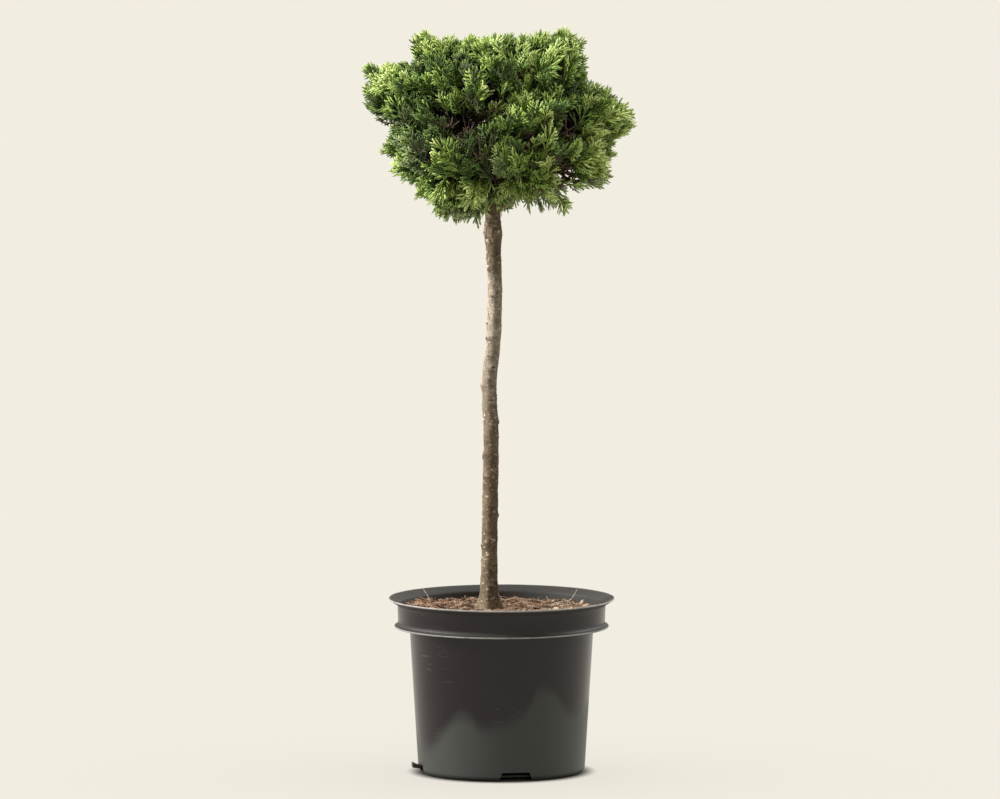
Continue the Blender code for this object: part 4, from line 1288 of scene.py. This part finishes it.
spray_chance = np.random.default_rng(19)
spray_shapes = shape_store("spray", [
    spray_mesh(spray_chance, SPRAY_WIDTHS[k % len(SPRAY_WIDTHS)]) for k in range(SPRAY_SHAPES)])
leaf_finishes = [leaf_finish(*green) for green in LEAF_GREENS]
for mass in MASSES:
    sprays = laid_out("sprays_" + mass, spray_spots(mass), spray_shapes, leaf_finishes)
    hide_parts("foliage_" + mass)
    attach(sprays, "root")
shapes_gone(spray_shapes)


# The studio: a plain pale floor wide enough to fill the view, which glows a little so that no
# shade shows on it, a pale surround, and a camera nine metres off, a little above the plant.
# Under the pot's foot the floor's glow fades out, which paints a soft contact shadow there. The
# lights are a key from the left, a rim from behind on the right, a soft one from above and a
# narrow one that reaches the trunk alone, all four kept off the floor.
PALE = (0.8880, 0.8469, 0.7605)  # the plain background
FRONT_SHARE = 0.50  # how bright the surround is on the camera's side
FLOOR_SIZE = 40
FLOOR_SHADE = (0.306, 0.304, 0.293)
FLOOR_GLOW = 0.744  # the share of the floor's paleness that no shade can take away
# painted contact shadow: inside these radii the glow is gone, so the floor under the pot's foot is
# darker
GLOW_EDGE = (0.067, 0.082)  # radii under the pot's foot, between which the glow sets in
LAMP_COLOUR = (1.0, 0.98, 0.94)
VIEWPOINT = Vector((-0.0013, -9.0, 1.215))
LOOKED_AT = Vector((-0.0013, 0.0, 0.3138))
FOCAL_LENGTH = 388.8
SENSOR_WIDTH = 36.0


def studio_floor():
    mesh = bpy.data.meshes.new("floor")
    corners = [(x * FLOOR_SIZE, y * FLOOR_SIZE, 0) for x, y in ((-1, -1), (1, -1), (1, 1), (-1, 1))]
    mesh.from_pydata(corners, [], [(0, 1, 2, 3)])
    made, tree, shader = new_finish("floor", FLOOR_SHADE, 0.9, Specular_IOR_Level=0.0,
                                    Emission_Strength=FLOOR_GLOW)
    place = object_place(tree)
    away = node(tree, "ShaderNodeVectorMath", {0: place}, operation="LENGTH").outputs["Value"]
    # the glow fades to nothing under the pot's foot: a painted contact shadow
    glow = blended(tree, ranged(tree, away, *GLOW_EDGE, smooth=True), (0.0, 0.0, 0.0), PALE)
    tree.links.new(glow, shader.inputs["Emission Color"])
    worn = node(tree, "ShaderNodeMapRange", {
        "Value": cloudy(tree, place, 1.5, 2.0), "To Min": 0.88, "To Max": 0.92,
    })
    tree.links.new(worn.outputs[0], shader.inputs["Roughness"])
    return put_in("floor", mesh, made)


def soft_sun(name, toward, strength, spread, spared):
    """A far light from a direction, spread over an angle, which spares some pieces."""
    lamp = bpy.data.lights.new(name, "SUN")
    lamp.energy, lamp.angle, lamp.color = strength, math.radians(spread), LAMP_COLOUR
    made = bpy.data.objects.new(name, lamp)
    made.rotation_euler = (-Vector(toward)).to_track_quat("-Z", "Y").to_euler()
    bpy.context.scene.collection.objects.link(made)
    flag = bpy.data.collections.new(name + "_flag")
    for k, piece in enumerate(spared):
        flag.objects.link(piece)
        flag.collection_objects[k].light_linking.link_state = "EXCLUDE"
    made.light_linking.receiver_collection = flag


def surround():
    """A pale world, as bright as the floor behind the plant and dimmer on the camera's side."""
    world = bpy.data.worlds.new("surround")
    world.use_nodes = True
    tree = world.node_tree
    way = node(tree, "ShaderNodeTexCoord").outputs["Generated"]
    share = node(tree, "ShaderNodeMapRange", {
        "Value": node(tree, "ShaderNodeSeparateXYZ", {0: way}).outputs["Y"],
        "From Min": -0.75, "From Max": 0.15, "To Min": FRONT_SHARE, "To Max": 1.0,
    }, interpolation_type="SMOOTHSTEP")
    tree.nodes["Background"].inputs["Color"].default_value = (*PALE, 1.0)
    tree.links.new(share.outputs[0], tree.nodes["Background"].inputs["Strength"])
    return world


floor = studio_floor()
bpy.context.scene.world = surround()
all_but_trunk = [piece for piece in bpy.data.objects if piece.type == "MESH" and piece != trunk]
soft_sun("key", (-0.90, -0.06, 0.42), strength=6.1, spread=14.0, spared=[floor])
soft_sun("rim", (0.80, 0.42, 0.50), strength=2.4, spread=25.0, spared=[floor, trunk])
soft_sun("stem", (-0.96, -0.12, 0.20), strength=4.0, spread=4.0, spared=all_but_trunk)
soft_sun("top", (-0.10, -0.25, 1.0), strength=1.9, spread=20.0, spared=[floor])
bpy.context.scene.view_settings.view_transform = "Standard"
bpy.context.scene.view_settings.look = "None"

lens = bpy.data.cameras.new("camera")
lens.lens, lens.sensor_width, lens.sensor_fit = FOCAL_LENGTH, SENSOR_WIDTH, "HORIZONTAL"
lens.clip_start, lens.clip_end = 0.5, 100.0
camera = bpy.data.objects.new("camera", lens)
camera.location = VIEWPOINT
camera.rotation_euler = (LOOKED_AT - VIEWPOINT).to_track_quat("-Z", "Y").to_euler()
bpy.context.scene.collection.objects.link(camera)
bpy.context.scene.camera = camera
